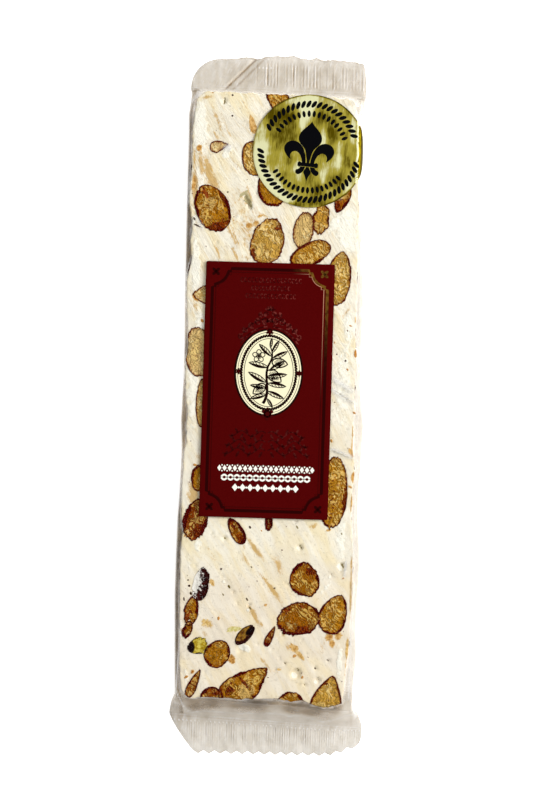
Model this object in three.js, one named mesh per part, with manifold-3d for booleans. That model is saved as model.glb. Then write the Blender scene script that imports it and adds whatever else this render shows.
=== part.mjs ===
// A nougat bar in its clear wrap, lying flat with its printed side up.
//
// Millimetres, +Z up. X runs across the bar and Y along it. The origin is the middle of the flat
// underside, so the bar rests on z = 0 and its label faces +Z.
//
//   wrapped_bar  the clear film tube with the slab in it: body, two tents and two crimped fins
//   label_card   the card on the film: pressed frame line and a raised oval medallion
//   gold_seal    the round foil seal, which folds down over the bar's right-hand edge

import * as THREE from 'three';
import { mergeVertices } from 'three/addons/utils/BufferGeometryUtils.js';
import Module from 'manifold-3d';

const wasm = await Module();
wasm.setup();

// ---- Driving dimensions -----------------------------------------------------------------------

// The slab inside: its cut ends set where the film starts to fall away.
const SLAB = {
  thickness: 16,
  topEnd: 102.4, // y of the upper cut end on the centre line
  bottomEnd: -97.5, // y of the lower cut end on the centre line
  topSkew: -0.028, // slope of the upper end over x
  bottomSkew: -0.056, // slope of the lower end over x
};

// The film tube around the slab.
const FILM = {
  height: SLAB.thickness + 0.5, // slab with the film above and below it
  halfWidth: 29.6, // at mid height, where the side film bulges most
  shoulder: 2.9, // how far in from that bulge the flat top starts
  squareness: 2.7, // exponent of the rounded side, 2 is an ellipse
  bulge: 0.45, // how much the sides wander in and out
};

// The two flat fins beyond the slab, each sealed by crimping jaws.
const FIN = {
  thickness: 0.7,
  toothPitch: 4.3, // length of one tooth of the pinked edge
  toothDepth: 1.0,
  ribHeight: 0.16, // half the depth of the crimp ribs
  rootHeight: 6.6, // height of the fin's middle where it starts
  tipHeight: 4.6, // and at its pinked edge, as it droops a little
};

const TOP_FIN = { tent: 2.3, end: 116.3, left: -29.0, right: 29.6, cornerLeft: -21.5, cornerRight: 28.8 };
const BOTTOM_FIN = { tent: 8.2, end: -116.6, left: -31.2, right: 33.8, cornerLeft: -22.6, cornerRight: 32.4 };

// The left corner of the upper fin is folded over along a slanting line.
const FOLD = { fromX: -17.5, fromY: 105.5, toX: -7.0, toY: 116.5, lift: 0.45 };

const LABEL = {
  width: 42.5,
  height: 84.3,
  thickness: 0.45,
  cornerRadius: 0.6,
  centreX: -1.1,
  centreY: 4.8,
  turn: -0.3, // degrees about Z
  frameInset: 2.3, // card edge to the middle of the pressed line
  frameWidth: 0.9,
  frameDepth: 0.15,
  frameScallop: 5.6, // radius of the hollowed corners of the pressed line
  medallionX: 0.4, // from the card's centre
  medallionY: 5.9,
  medallionHalfWidth: 11.35,
  medallionHalfHeight: 14.45,
  medallionRise: 0.1,
};

const SEAL = { radius: 18.65, thickness: 0.3, centreX: 11.0, centreY: 84.1 };

const GAP = 0.3; // between parts that lie on each other

// ---- How finely the shapes are cut ------------------------------------------------------------

const TEETH = Math.round((BOTTOM_FIN.right - BOTTOM_FIN.left) / FIN.toothPitch);
const FIN_COLUMNS = 2 * TEETH;
const SIDE_COLUMNS = 4; // of those, the ones that climb each side of the body
const BODY_STEP = 8.5; // between two rings along the body
const TENT_RINGS = 5;
const FIN_RINGS = 4;
const CORNER_STEPS = 3; // in a quarter of a card corner
const SCALLOP_STEPS = 6; // in a quarter of a hollowed frame corner
const OVAL_STEPS = 20; // in a half of the medallion
const SEAL_SPOKES = 48;
const SEAL_CIRCLES = [0.45, 0.75, 0.86, 0.93, 1]; // shares of the seal's radius, closest at its fold
const SIDE_SAMPLES = 200; // for following the film's rounded side by length

// ---- Colours ----------------------------------------------------------------------------------

const COLOURS = {
  nougat: 0xf2e9d2,
  card: 0x4f0505,
  gold: 0xa99a3c,
};

// ---- Helpers ----------------------------------------------------------------------------------

const mix = (a, b, t) => a + (b - a) * t;
const clamp01 = (t) => Math.min(1, Math.max(0, t));
const smooth = (t) => t * t * (3 - 2 * t);

function toSolid(geometry) {
  const bare = geometry.clone();
  bare.deleteAttribute('normal');
  bare.deleteAttribute('uv');
  const merged = mergeVertices(bare, 1e-5);
  return new wasm.Manifold(
    new wasm.Mesh({
      numProp: 3,
      vertProperties: new Float32Array(merged.attributes.position.array),
      triVerts: new Uint32Array(merged.index.array),
    }),
  );
}

function toGeometry(solid) {
  const data = solid.getMesh();
  const geometry = new THREE.BufferGeometry();
  geometry.setAttribute('position', new THREE.BufferAttribute(new Float32Array(data.vertProperties), 3));
  geometry.setIndex(new THREE.BufferAttribute(new Uint32Array(data.triVerts), 1));
  geometry.computeVertexNormals();
  return geometry;
}

// A closed skin through rings of points. Each ring goes left to right over the top and back
// underneath; both ends are closed by strips from the upper to the lower half.
function skinThroughRings(rings) {
  const count = rings[0].length;
  const half = count / 2;
  const positions = rings.flat(2);
  const index = [];
  const at = (ring, i) => ring * count + (i % count);
  for (let ring = 0; ring + 1 < rings.length; ring++) {
    for (let i = 0; i < count; i++) {
      index.push(at(ring, i), at(ring + 1, i), at(ring + 1, i + 1));
      index.push(at(ring, i), at(ring + 1, i + 1), at(ring, i + 1));
    }
  }
  const close = (ring, flip) => {
    for (let i = 0; i < half; i++) {
      const upper = [at(ring, i), at(ring, i + 1)];
      const lower = [at(ring, count - i), at(ring, count - i - 1)];
      const triangles = [];
      if (i > 0) triangles.push([upper[0], upper[1], lower[0]]);
      if (i < half - 1) triangles.push([upper[1], lower[1], lower[0]]);
      for (const [a, b, c] of triangles) {
        if (a === b || b === c || a === c) continue;
        index.push(...(flip ? [a, c, b] : [a, b, c]));
      }
    }
  };
  close(0, false);
  close(rings.length - 1, true);
  const geometry = new THREE.BufferGeometry();
  geometry.setAttribute('position', new THREE.Float32BufferAttribute(positions, 3));
  geometry.setIndex(index);
  geometry.computeVertexNormals();
  return geometry;
}

// ---- The film tube around the slab ------------------------------------------------------------

// How far the side film stands out at mid height, wandering a little along the bar.
function filmHalfWidth(side, y) {
  const slow = Math.sin(y / 19 + side * 1.3);
  const quick = Math.sin(y / 7.7 + side * 0.6);
  return FILM.halfWidth + FILM.bulge * (0.7 * slow + 0.3 * quick);
}

// The rounded side of the film at an angle from 0, the bulge, to a quarter turn, the flat top.
function sidePoint(side, y, angle) {
  const power = 2 / FILM.squareness;
  const reach = filmHalfWidth(side, y);
  return {
    x: side * (reach - FILM.shoulder * (1 - Math.cos(angle) ** power)),
    rise: (FILM.height / 2) * Math.sin(angle) ** power,
  };
}

// One column of the body: x, and the rise above or below mid height.
function bodyColumn(column, y) {
  const flatColumns = FIN_COLUMNS - 2 * SIDE_COLUMNS;
  const fromEdge = Math.min(column, FIN_COLUMNS - column);
  const side = column < FIN_COLUMNS / 2 ? -1 : 1;
  if (fromEdge < SIDE_COLUMNS) {
    return sidePoint(side, y, (fromEdge / SIDE_COLUMNS) * (Math.PI / 2));
  }
  const left = sidePoint(-1, y, Math.PI / 2).x;
  const right = sidePoint(1, y, Math.PI / 2).x;
  const across = (column - SIDE_COLUMNS) / flatColumns;
  return { x: mix(left, right, across), rise: FILM.height / 2 };
}

// ---- The fins ---------------------------------------------------------------------------------

// The fin's side edges narrow over its outer part, where the corners are cut or folded.
function finColumnX(fin, column, along) {
  const narrowed = along ** 1.6;
  const left = mix(fin.left, fin.cornerLeft, narrowed);
  const right = mix(fin.right, fin.cornerRight, narrowed);
  return mix(left, right, column / FIN_COLUMNS);
}

// Odd columns are the points of the teeth, and no two stand out alike.
function toothReach(column) {
  const isPoint = column % 2 === 1;
  const uneven = 0.75 + 0.25 * Math.sin(column * 2.3);
  return isPoint ? FIN.toothDepth * uneven : 0;
}

function foldLift(x, y) {
  const along = (y - FOLD.fromY) / (FOLD.toY - FOLD.fromY);
  const foldX = mix(FOLD.fromX, FOLD.toX, along);
  return FOLD.lift * clamp01((foldX - x) / 1.5) * clamp01((y - FOLD.fromY + 3) / 3);
}

function finRing(fin, direction, along) {
  const root = slabEndAt(direction, 0) + direction * fin.tent;
  const points = [];
  const point = (column, over) => {
    const x = finColumnX(fin, column, along);
    const skewed = slabEndAt(direction, x) - slabEndAt(direction, 0);
    const y = mix(root + skewed, fin.end + direction * toothReach(column), along);
    const rib = (column % 2 === 1 ? 1 : -1) * FIN.ribHeight * clamp01(along * 4);
    const middle = mix(FIN.rootHeight, FIN.tipHeight, along) + rib;
    const edge = column === 0 || column === FIN_COLUMNS;
    const lift = over > 0 && direction > 0 ? foldLift(x, y) : 0;
    return [x, y, middle + (edge ? 0 : (over * FIN.thickness) / 2 + lift)];
  };
  for (let column = 0; column <= FIN_COLUMNS; column++) points.push(point(column, 1));
  for (let column = FIN_COLUMNS - 1; column > 0; column--) points.push(point(column, -1));
  return points;
}

// ---- Body, tents and fins in one skin ---------------------------------------------------------

function slabEndAt(direction, x) {
  return direction > 0 ? SLAB.topEnd + SLAB.topSkew * x : SLAB.bottomEnd + SLAB.bottomSkew * x;
}

function bodyRing(y, skewSide) {
  const points = [];
  const point = (column, over) => {
    const { x, rise } = bodyColumn(column, y);
    const skewed = skewSide === 0 ? 0 : slabEndAt(skewSide, x) - slabEndAt(skewSide, 0);
    return [x, y + skewed, FILM.height / 2 + over * rise];
  };
  for (let column = 0; column <= FIN_COLUMNS; column++) points.push(point(column, 1));
  for (let column = FIN_COLUMNS - 1; column > 0; column--) points.push(point(column, -1));
  return points;
}

// From the slab's end the film falls to the fin, rounding over the edge of the slab first.
function tentRing(fin, direction, t) {
  const from = bodyRing(slabEndAt(direction, 0), direction);
  const to = finRing(fin, direction, 0);
  const fall = mix(t * t, t, 0.55);
  return from.map((point, i) => [
    mix(point[0], to[i][0], fall),
    mix(point[1], to[i][1], smooth(t) * 0.4 + t * 0.6),
    mix(point[2], to[i][2], fall),
  ]);
}

function wrappedBarGeometry() {
  const rings = [];
  for (let i = FIN_RINGS; i > 0; i--) rings.push(finRing(BOTTOM_FIN, -1, i / FIN_RINGS));
  for (let i = TENT_RINGS; i > 0; i--) rings.push(tentRing(BOTTOM_FIN, -1, i / TENT_RINGS));
  const length = SLAB.topEnd - SLAB.bottomEnd;
  const steps = Math.round(length / BODY_STEP);
  for (let i = 0; i <= steps; i++) {
    const y = mix(SLAB.bottomEnd, SLAB.topEnd, i / steps);
    rings.push(bodyRing(y, i === 0 ? -1 : i === steps ? 1 : 0));
  }
  for (let i = 1; i <= TENT_RINGS; i++) rings.push(tentRing(TOP_FIN, 1, i / TENT_RINGS));
  for (let i = 1; i <= FIN_RINGS; i++) rings.push(finRing(TOP_FIN, 1, i / FIN_RINGS));
  return skinThroughRings(rings.reverse());
}

// ---- The label card ---------------------------------------------------------------------------

// Points of an arc about a corner, both ends included.
function arcPoints(x, y, radius, from, to, steps) {
  const points = [];
  for (let i = 0; i <= steps; i++) {
    const angle = mix(from, to, i / steps);
    points.push(new THREE.Vector2(x + radius * Math.cos(angle), y + radius * Math.sin(angle)));
  }
  return points;
}

// A rectangle with rounded corners, anticlockwise from the lower right corner.
function roundedRectangle(width, height, radius) {
  const x = width / 2 - radius;
  const y = height / 2 - radius;
  const quarter = Math.PI / 2;
  const corners = [[1, -1], [1, 1], [-1, 1], [-1, -1]];
  return new THREE.Shape(
    corners.flatMap(([sideX, sideY], i) => {
      const from = (i - 1) * quarter;
      return arcPoints(sideX * x, sideY * y, radius, from, from + quarter, CORNER_STEPS);
    }),
  );
}

// A rectangle whose corners are hollowed by arcs about them. Its line is moved out by grow, which
// makes the arcs smaller and turns their ends a little past the corner's own sides.
function scallopedRectangle(width, height, scallop, grow) {
  const radius = scallop - grow;
  const past = Math.asin(grow / radius);
  const quarter = Math.PI / 2;
  const corners = [[1, -1], [1, 1], [-1, 1], [-1, -1]];
  return new THREE.Shape(
    corners.flatMap(([sideX, sideY], i) => {
      const from = (i + 2) * quarter + past;
      const to = (i + 1) * quarter - past;
      return arcPoints((sideX * width) / 2, (sideY * height) / 2, radius, from, to, SCALLOP_STEPS);
    }),
  );
}

// A flat outline raised into a prism that starts at height z.
function prism(shape, z, depth) {
  const settings = { depth, bevelEnabled: false, curveSegments: OVAL_STEPS };
  const geometry = new THREE.ExtrudeGeometry(shape, settings);
  geometry.translate(0, 0, z);
  return toSolid(geometry);
}

// The pressed frame line is cut as the difference of two scalloped rectangles.
function frameGroove() {
  const width = LABEL.width - 2 * LABEL.frameInset;
  const height = LABEL.height - 2 * LABEL.frameInset;
  const floor = LABEL.thickness - LABEL.frameDepth;
  const outline = (grow) => scallopedRectangle(width, height, LABEL.frameScallop, grow);
  const outer = prism(outline(LABEL.frameWidth / 2), floor, LABEL.thickness);
  const inner = prism(outline(-LABEL.frameWidth / 2), floor, LABEL.thickness);
  return outer.subtract(inner);
}

function medallion() {
  const oval = new THREE.Shape();
  oval.absellipse(
    LABEL.medallionX, LABEL.medallionY,
    LABEL.medallionHalfWidth, LABEL.medallionHalfHeight,
    0, 2 * Math.PI, false, 0,
  );
  const sunk = LABEL.thickness / 2;
  return prism(oval, sunk, LABEL.thickness - sunk + LABEL.medallionRise);
}

function labelGeometry() {
  const outline = roundedRectangle(LABEL.width, LABEL.height, LABEL.cornerRadius);
  const card = prism(outline, 0, LABEL.thickness);
  return toGeometry(card.subtract(frameGroove()).add(medallion()));
}

// ---- The round seal ---------------------------------------------------------------------------

// The upper surface of the film, followed by its length from the middle to the right and lifted
// off along its own normal. Past the shoulder it runs down the rounded side.
function filmSurface(lengthAcross, y, lift) {
  const flatEnd = sidePoint(1, y, Math.PI / 2).x;
  const top = FILM.height;
  if (lengthAcross <= flatEnd) return [lengthAcross, y, top + lift];
  let previous = { x: flatEnd, z: top };
  let travelled = flatEnd;
  let place = null;
  for (let i = 1; i <= SIDE_SAMPLES && travelled < lengthAcross; i++) {
    const side = sidePoint(1, y, (1 - i / SIDE_SAMPLES) * (Math.PI / 2));
    const point = { x: side.x, z: FILM.height / 2 + side.rise };
    const stepX = point.x - previous.x;
    const stepZ = point.z - previous.z;
    const stepLength = Math.hypot(stepX, stepZ);
    place = [point.x - (stepZ / stepLength) * lift, y, point.z + (stepX / stepLength) * lift];
    travelled += stepLength;
    previous = point;
  }
  return place;
}

// A disc laid on the film: circles of points on its upper and lower face, joined at the rim.
function sealGeometry() {
  const spokes = SEAL_SPOKES;
  const positions = [];
  const index = [];
  const faceOf = (lift) => {
    const first = positions.length / 3;
    positions.push(...filmSurface(SEAL.centreX, SEAL.centreY, lift));
    for (const share of SEAL_CIRCLES) {
      for (let spoke = 0; spoke < spokes; spoke++) {
        const angle = (2 * Math.PI * spoke) / spokes;
        const across = SEAL.centreX + share * SEAL.radius * Math.cos(angle);
        const along = SEAL.centreY + share * SEAL.radius * Math.sin(angle);
        positions.push(...filmSurface(across, along, lift));
      }
    }
    return first;
  };
  const at = (face, circle, spoke) => face + 1 + circle * spokes + (spoke % spokes);
  const add = (upward, a, b, c) => index.push(...(upward ? [a, b, c] : [a, c, b]));
  const faces = [faceOf(GAP + SEAL.thickness), faceOf(GAP)];
  const rim = SEAL_CIRCLES.length - 1;
  faces.forEach((face, which) => {
    const upward = which === 0;
    for (let spoke = 0; spoke < spokes; spoke++) {
      add(upward, face, at(face, 0, spoke), at(face, 0, spoke + 1));
      for (let circle = 0; circle < rim; circle++) {
        const inner = [at(face, circle, spoke), at(face, circle, spoke + 1)];
        const outer = [at(face, circle + 1, spoke), at(face, circle + 1, spoke + 1)];
        add(upward, inner[0], outer[0], outer[1]);
        add(upward, inner[0], outer[1], inner[1]);
      }
    }
  });
  for (let spoke = 0; spoke < spokes; spoke++) {
    const upper = [at(faces[0], rim, spoke), at(faces[0], rim, spoke + 1)];
    const lower = [at(faces[1], rim, spoke), at(faces[1], rim, spoke + 1)];
    index.push(upper[0], lower[0], lower[1], upper[0], lower[1], upper[1]);
  }
  const geometry = new THREE.BufferGeometry();
  geometry.setAttribute('position', new THREE.Float32BufferAttribute(positions, 3));
  geometry.setIndex(index);
  geometry.computeVertexNormals();
  return geometry;
}

// ---- The assembled bar ------------------------------------------------------------------------

function part(name, geometry, colour, roughness, metalness) {
  const material = new THREE.MeshStandardMaterial({ color: colour, roughness, metalness });
  const mesh = new THREE.Mesh(geometry, material);
  mesh.name = name;
  return mesh;
}

const group = new THREE.Group();

group.add(part('wrapped_bar', wrappedBarGeometry(), COLOURS.nougat, 0.3, 0));

const label = part('label_card', labelGeometry(), COLOURS.card, 0.55, 0);
label.position.set(LABEL.centreX, LABEL.centreY, FILM.height + GAP);
label.rotation.z = THREE.MathUtils.degToRad(LABEL.turn);
group.add(label);

group.add(part('gold_seal', sealGeometry(), COLOURS.gold, 0.3, 1));

export default group;
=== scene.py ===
# %% [markdown]
# # A nougat bar in its clear wrap
# A slab of soft white nougat, full of almonds, lies sealed in clear film. A maroon card and a round
# gold seal are stuck on top. The imported solids fix every size. This lesson dresses them: it makes the
# nougat and its nuts, the film with its crimped fins, the printed card and the foil seal.
#
# The first cell loads the imported model. Its box is kept and printed.

# %% Load the frame
import math

import bmesh
import bpy
import numpy as np
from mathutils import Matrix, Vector, noise
from mathutils.geometry import tessellate_polygon
from mathutils.kdtree import KDTree


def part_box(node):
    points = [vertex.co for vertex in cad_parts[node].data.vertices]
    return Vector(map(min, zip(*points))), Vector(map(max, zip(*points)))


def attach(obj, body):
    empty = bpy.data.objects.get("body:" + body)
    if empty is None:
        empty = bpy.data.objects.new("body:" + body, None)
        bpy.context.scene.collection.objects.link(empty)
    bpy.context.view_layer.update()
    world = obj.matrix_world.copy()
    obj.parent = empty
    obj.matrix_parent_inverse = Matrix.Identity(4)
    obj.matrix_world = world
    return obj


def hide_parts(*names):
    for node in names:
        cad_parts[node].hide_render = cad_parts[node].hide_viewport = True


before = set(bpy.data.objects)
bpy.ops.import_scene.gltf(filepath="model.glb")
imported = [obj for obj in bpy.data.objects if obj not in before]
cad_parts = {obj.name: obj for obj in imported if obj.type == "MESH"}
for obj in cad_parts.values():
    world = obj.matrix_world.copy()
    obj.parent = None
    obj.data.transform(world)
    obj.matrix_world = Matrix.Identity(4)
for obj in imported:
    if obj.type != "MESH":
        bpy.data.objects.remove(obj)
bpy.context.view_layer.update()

MM = 0.001
wrap_low, wrap_high = [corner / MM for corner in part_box("wrapped_bar")]
card_low, card_high = [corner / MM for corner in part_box("label_card")]
print("wrap, mm:", wrap_low, wrap_high)
print("card, mm:", card_low, card_high)

# %% [markdown]
# ## The studio
# The bar is seen from straight above. A real camera is never quite square to its subject, so this one
# is rolled a little, and the bar leans. Soft light comes from the right, as from a window, with a weak
# fill from the left. The plain view transform keeps white card white.

# %% Camera
FILM_TOP = wrap_high.z  # height of the film's flat top, mm
VIEW_DISTANCE = 600.0  # camera to the film's top, mm
VIEW_HEIGHT = 264.0  # what the long side of the picture takes in at that height, mm
VIEW_CENTRE = (0.65, 1.7)  # where the picture's middle falls, mm
VIEW_ROLL = math.radians(1.4)
SENSOR = 36.0

scene = bpy.context.scene
camera_data = bpy.data.cameras.new("camera")
camera_data.sensor_width = SENSOR
camera_data.lens = SENSOR * VIEW_DISTANCE / VIEW_HEIGHT
camera = bpy.data.objects.new("camera", camera_data)
camera.location = Vector((*VIEW_CENTRE, FILM_TOP + VIEW_DISTANCE)) * MM
camera.rotation_euler = (0, 0, VIEW_ROLL)
scene.collection.objects.link(camera)
scene.camera = camera
scene.view_settings.view_transform = "Standard"
print("lens, mm:", round(camera_data.lens, 1))


# %% Lights
def soft_light(name, place, size, watts):
    """A square lamp at a place in mm that looks at the middle of the bar."""
    data = bpy.data.lights.new(name, "AREA")
    data.size = size * MM
    data.energy = watts
    lamp = bpy.data.objects.new(name, data)
    lamp.location = Vector(place) * MM
    lamp.rotation_euler = (-lamp.location).to_track_quat("-Z", "Y").to_euler()
    scene.collection.objects.link(lamp)


soft_light("window_right", (480, 190, 380), 240, 2.9)
soft_light("fill_left", (-450, -200, 600), 500, 0.35)

# %% [markdown]
# ## Small helpers
# Shapes are worked out in millimetres with arrays of points, and turned into meshes in metres. A mesh
# can carry numbers on its points, such as how far a point is from the edge of a nut. Materials read
# those numbers, so a line painted by a material stays sharp where the mesh itself is coarse.


# %% Mesh helpers
def make_piece(name, points, faces, numbers=None, closed=True):
    """A smooth mesh object from points in mm. numbers maps an attribute's name to a value per point."""
    mesh = bpy.data.meshes.new(name)
    mesh.from_pydata((np.asarray(points, float) * MM).tolist(), [], faces)
    for key, values in (numbers or {}).items():
        layer = mesh.attributes.new(key, "FLOAT", "POINT")
        layer.data.foreach_set("value", np.asarray(values, np.float32))
    work = bmesh.new()
    work.from_mesh(mesh)
    bmesh.ops.remove_doubles(work, verts=work.verts, dist=1e-7)
    if closed:
        bmesh.ops.recalc_face_normals(work, faces=work.faces)
    work.to_mesh(mesh)
    work.free()
    mesh.polygons.foreach_set("use_smooth", [True] * len(mesh.polygons))
    piece = bpy.data.objects.new(name, mesh)
    scene.collection.objects.link(piece)
    return piece


def loop_faces(ring_count, ring_size, first=0):
    """Quads between rings of points that each close on themselves."""
    faces = []
    for ring in range(ring_count - 1):
        start = first + ring * ring_size
        for i in range(ring_size):
            j = (i + 1) % ring_size
            faces.append((start + i, start + j, start + ring_size + j, start + ring_size + i))
    return faces


def grid_faces(rows, columns, first=0):
    """Quads of a flat grid whose points are stored row by row."""
    faces = []
    for row in range(rows - 1):
        start = first + row * columns
        for i in range(columns - 1):
            faces.append((start + i, start + i + 1, start + columns + i + 1, start + columns + i))
    return faces


def mix(low, high, share):
    return low + (high - low) * share


def ease(share):
    """A smooth step from 0 to 1 as share goes from 0 to 1."""
    share = np.clip(share, 0, 1)
    return share * share * (3 - 2 * share)


def spin_by(degrees):
    """The matrix that turns rows of flat places by an angle."""
    turn = math.radians(degrees)
    return np.array(((math.cos(turn), math.sin(turn)), (-math.sin(turn), math.cos(turn))))


def along_across(x, y, degrees):
    """Places measured along a direction, in degrees from +X, and across it."""
    turn = math.radians(degrees)
    return x * math.cos(turn) + y * math.sin(turn), -x * math.sin(turn) + y * math.cos(turn)


def bell(away, width):
    """1 where away is 0, and next to nothing beyond two widths."""
    return np.exp(-((away / width) ** 2))


def bumps(points, cells_per_mm, seed=0.0):
    """Gradient noise from -1 to 1 at each point."""
    shift = np.array((seed * 7.31, seed * 3.77, seed * 5.13))
    places = np.asarray(points, float) * cells_per_mm + shift
    return np.array([noise.noise(place) for place in places.tolist()])


def dress(piece, material, slot, *nodes):
    """Gives a finished piece its material, ties it to the bar and hides the imported parts that it stands
    for; slot is not used.
    """
    if material:
        piece.data.materials.clear()
        piece.data.materials.append(material)
    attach(piece, "root")
    if nodes:
        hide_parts(*nodes)
    print(piece.name, len(piece.data.polygons), "faces")


# %% [markdown]
# Materials are built in code too. Two effects come back in many of them, so each is a node group.
# *Streaks* is noise that is drawn out along one direction: knife marks in nougat, fibres in an almond,
# the brushing of foil. *Ragged line* turns a distance from an edge into a mask that frays at its border.


# %% Node helpers
def new_material(name, roughness, **sockets):
    """A material with one Principled shader; plain values are set on the shader's own sockets."""
    material = bpy.data.materials.new(name)
    material.use_nodes = True
    shader = material.node_tree.nodes["Principled BSDF"]
    shader.inputs["Roughness"].default_value = roughness
    for key, value in sockets.items():
        shader.inputs[key.replace("_", " ")].default_value = value
    return material, material.node_tree, shader


def add(tree, kind, settings=None, **values):
    """Adds a node. settings are its own properties, values feed its inputs: numbers or other sockets."""
    node = tree.nodes.new(kind)
    for key, value in (settings or {}).items():
        setattr(node, key, value)
    for key, value in values.items():
        name = key.replace("_", " ")
        socket = node.inputs[int(name[1:])] if name[0] == "i" and name[1:].isdigit() else node.inputs[name]
        if isinstance(value, bpy.types.NodeSocket):
            tree.links.new(value, socket)
        else:
            socket.default_value = value
    return node


def tree_of(*values):
    """The node tree that the first socket among the values belongs to."""
    return next(value.id_data for value in values if isinstance(value, bpy.types.NodeSocket))


def maths(operation, first, second=0.0, third=0.0, clamp=False):
    settings = {"operation": operation, "use_clamp": clamp}
    tree = tree_of(first, second, third)
    return add(tree, "ShaderNodeMath", settings, i0=first, i1=second, i2=third).outputs[0]


def times(first, second, plus=None):
    """The product of two numbers, and the third added where it is given."""
    if plus is None:
        return maths("MULTIPLY", first, second)
    return maths("MULTIPLY_ADD", first, second, plus)


def vector_maths(operation, first, second):
    tree, settings = tree_of(first, second), {"operation": operation}
    return add(tree, "ShaderNodeVectorMath", settings, i0=first, i1=second).outputs[0]


def resized(vector, factor):
    tree, settings = tree_of(vector, factor), {"operation": "SCALE"}
    return add(tree, "ShaderNodeVectorMath", settings, i0=vector, Scale=factor).outputs[0]


def split(vector):
    """The X, Y and Z of a vector, by name."""
    return add(tree_of(vector), "ShaderNodeSeparateXYZ", i0=vector).outputs


def blend(share, first, second):
    """A colour between two colours."""
    tree, settings = tree_of(share, first, second), {"data_type": "RGBA"}
    return add(tree, "ShaderNodeMix", settings, i0=share, i6=first, i7=second).outputs[2]


def remap(value, low, high, to_low=0.0, to_high=1.0):
    """Runs smoothly from to_low to to_high while the value runs from low to high."""
    tree, settings = tree_of(value), {"interpolation_type": "SMOOTHSTEP"}
    limits = {"i1": low, "i2": high, "i3": to_low, "i4": to_high}
    return add(tree, "ShaderNodeMapRange", settings, i0=value, **limits).outputs[0]


def ramp(value, *stops):
    """A colour that runs through the stops, each a place from 0 to 1 and a colour."""
    node = add(tree_of(value), "ShaderNodeValToRGB", i0=value)
    elements = node.color_ramp.elements
    for i, (place, colour) in enumerate(stops):
        element = elements[i] if i < len(elements) else elements.new(place)
        element.position, element.color = place, colour
    return node.outputs["Color"]


def mottle(place, cells_per_mm, detail=3.0, roughness=0.55):
    """Cloudy noise from 0 to 1 that keeps near the middle."""
    values = {"Vector": place, "Scale": cells_per_mm, "Detail": detail, "Roughness": roughness}
    return add(tree_of(place), "ShaderNodeTexNoise", {"noise_dimensions": "3D"}, **values).outputs["Fac"]


def millimetres(tree):
    """Object coordinates in millimetres."""
    return resized(add(tree, "ShaderNodeTexCoord").outputs["Object"], 1 / MM)


def push_about(place, cells, reach):
    """A noise vector of up to half of reach each way."""
    push = add(tree_of(place), "ShaderNodeTexNoise", Vector=place, Scale=cells, Detail=2.0).outputs["Color"]
    return resized(vector_maths("SUBTRACT", push, (0.5, 0.5, 0.5)), reach)


def warped(place, cells_per_mm, reach):
    """Places pushed about by up to half of reach mm, so that straight patterns flow."""
    return vector_maths("ADD", place, push_about(place, cells_per_mm, reach))


def number(tree, name):
    """A number that the mesh carries on its points."""
    return add(tree, "ShaderNodeAttribute", {"attribute_name": name}).outputs["Fac"]


def paint(shader, colour):
    shader.id_data.links.new(colour, shader.inputs["Base Color"])


def bump(shader, height, distance_mm, strength=1.0):
    """Feeds a height between 0 and 1 to the shader as fine relief."""
    tree, distance = tree_of(height), distance_mm * MM
    node = add(tree, "ShaderNodeBump", Height=height, Distance=distance, Strength=strength)
    tree.links.new(node.outputs["Normal"], shader.inputs["Normal"])


def rgb(red, green, blue):
    """A colour given as on a screen, 0 to 255, as the linear values that nodes take."""
    levels = [c / 255 for c in (red, green, blue)]
    linear = [c / 12.92 if c < 0.04045 else ((c + 0.055) / 1.055) ** 2.4 for c in levels]
    return (*linear, 1.0)


# %% Node group: streaks
def group_socket(tree, name, direction, kind="NodeSocketFloat", default=None):
    socket = tree.interface.new_socket(name=name, in_out=direction, socket_type=kind)
    if default is not None:
        socket.default_value = default


def build_streaks():
    """Noise drawn out along a direction in the XY plane: Turn in radians, Length and Width in mm."""
    tree = bpy.data.node_groups.new("streaks", "ShaderNodeTree")
    group_socket(tree, "Place", "INPUT", "NodeSocketVector")
    for name, default in (("Turn", 0.0), ("Length", 10.0), ("Width", 1.0), ("Seed", 0.0), ("Detail", 4.0)):
        group_socket(tree, name, "INPUT", default=default)
    group_socket(tree, "Value", "OUTPUT")
    inputs = tree.nodes.new("NodeGroupInput").outputs
    turned = add(tree, "ShaderNodeVectorRotate", {"rotation_type": "Z_AXIS"}, Vector=inputs["Place"])
    tree.links.new(times(inputs["Turn"], -1), turned.inputs["Angle"])
    cells = add(tree, "ShaderNodeCombineXYZ", X=inputs["Length"], Y=inputs["Width"], Z=inputs["Width"])
    squeezed = vector_maths("DIVIDE", turned.outputs[0], cells.outputs[0])
    shift = add(tree, "ShaderNodeCombineXYZ", X=inputs["Seed"], Y=inputs["Seed"], Z=inputs["Seed"])
    shifted = vector_maths("ADD", squeezed, shift.outputs[0])
    value = mottle(shifted, 1, inputs["Detail"], 0.6)
    outputs = tree.nodes.new("NodeGroupOutput")
    tree.links.new(value, outputs.inputs["Value"])
    return tree


streaks_group = build_streaks()


def streaks(place, turn_degrees, length, width, seed=0.0, detail=4.0):
    values = {"Place": place, "Turn": math.radians(turn_degrees), "Length": length, "Width": width}
    values.update({"Seed": seed, "Detail": detail})
    settings = {"node_tree": streaks_group}
    return add(tree_of(place), "ShaderNodeGroup", settings, **values).outputs["Value"]


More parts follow.
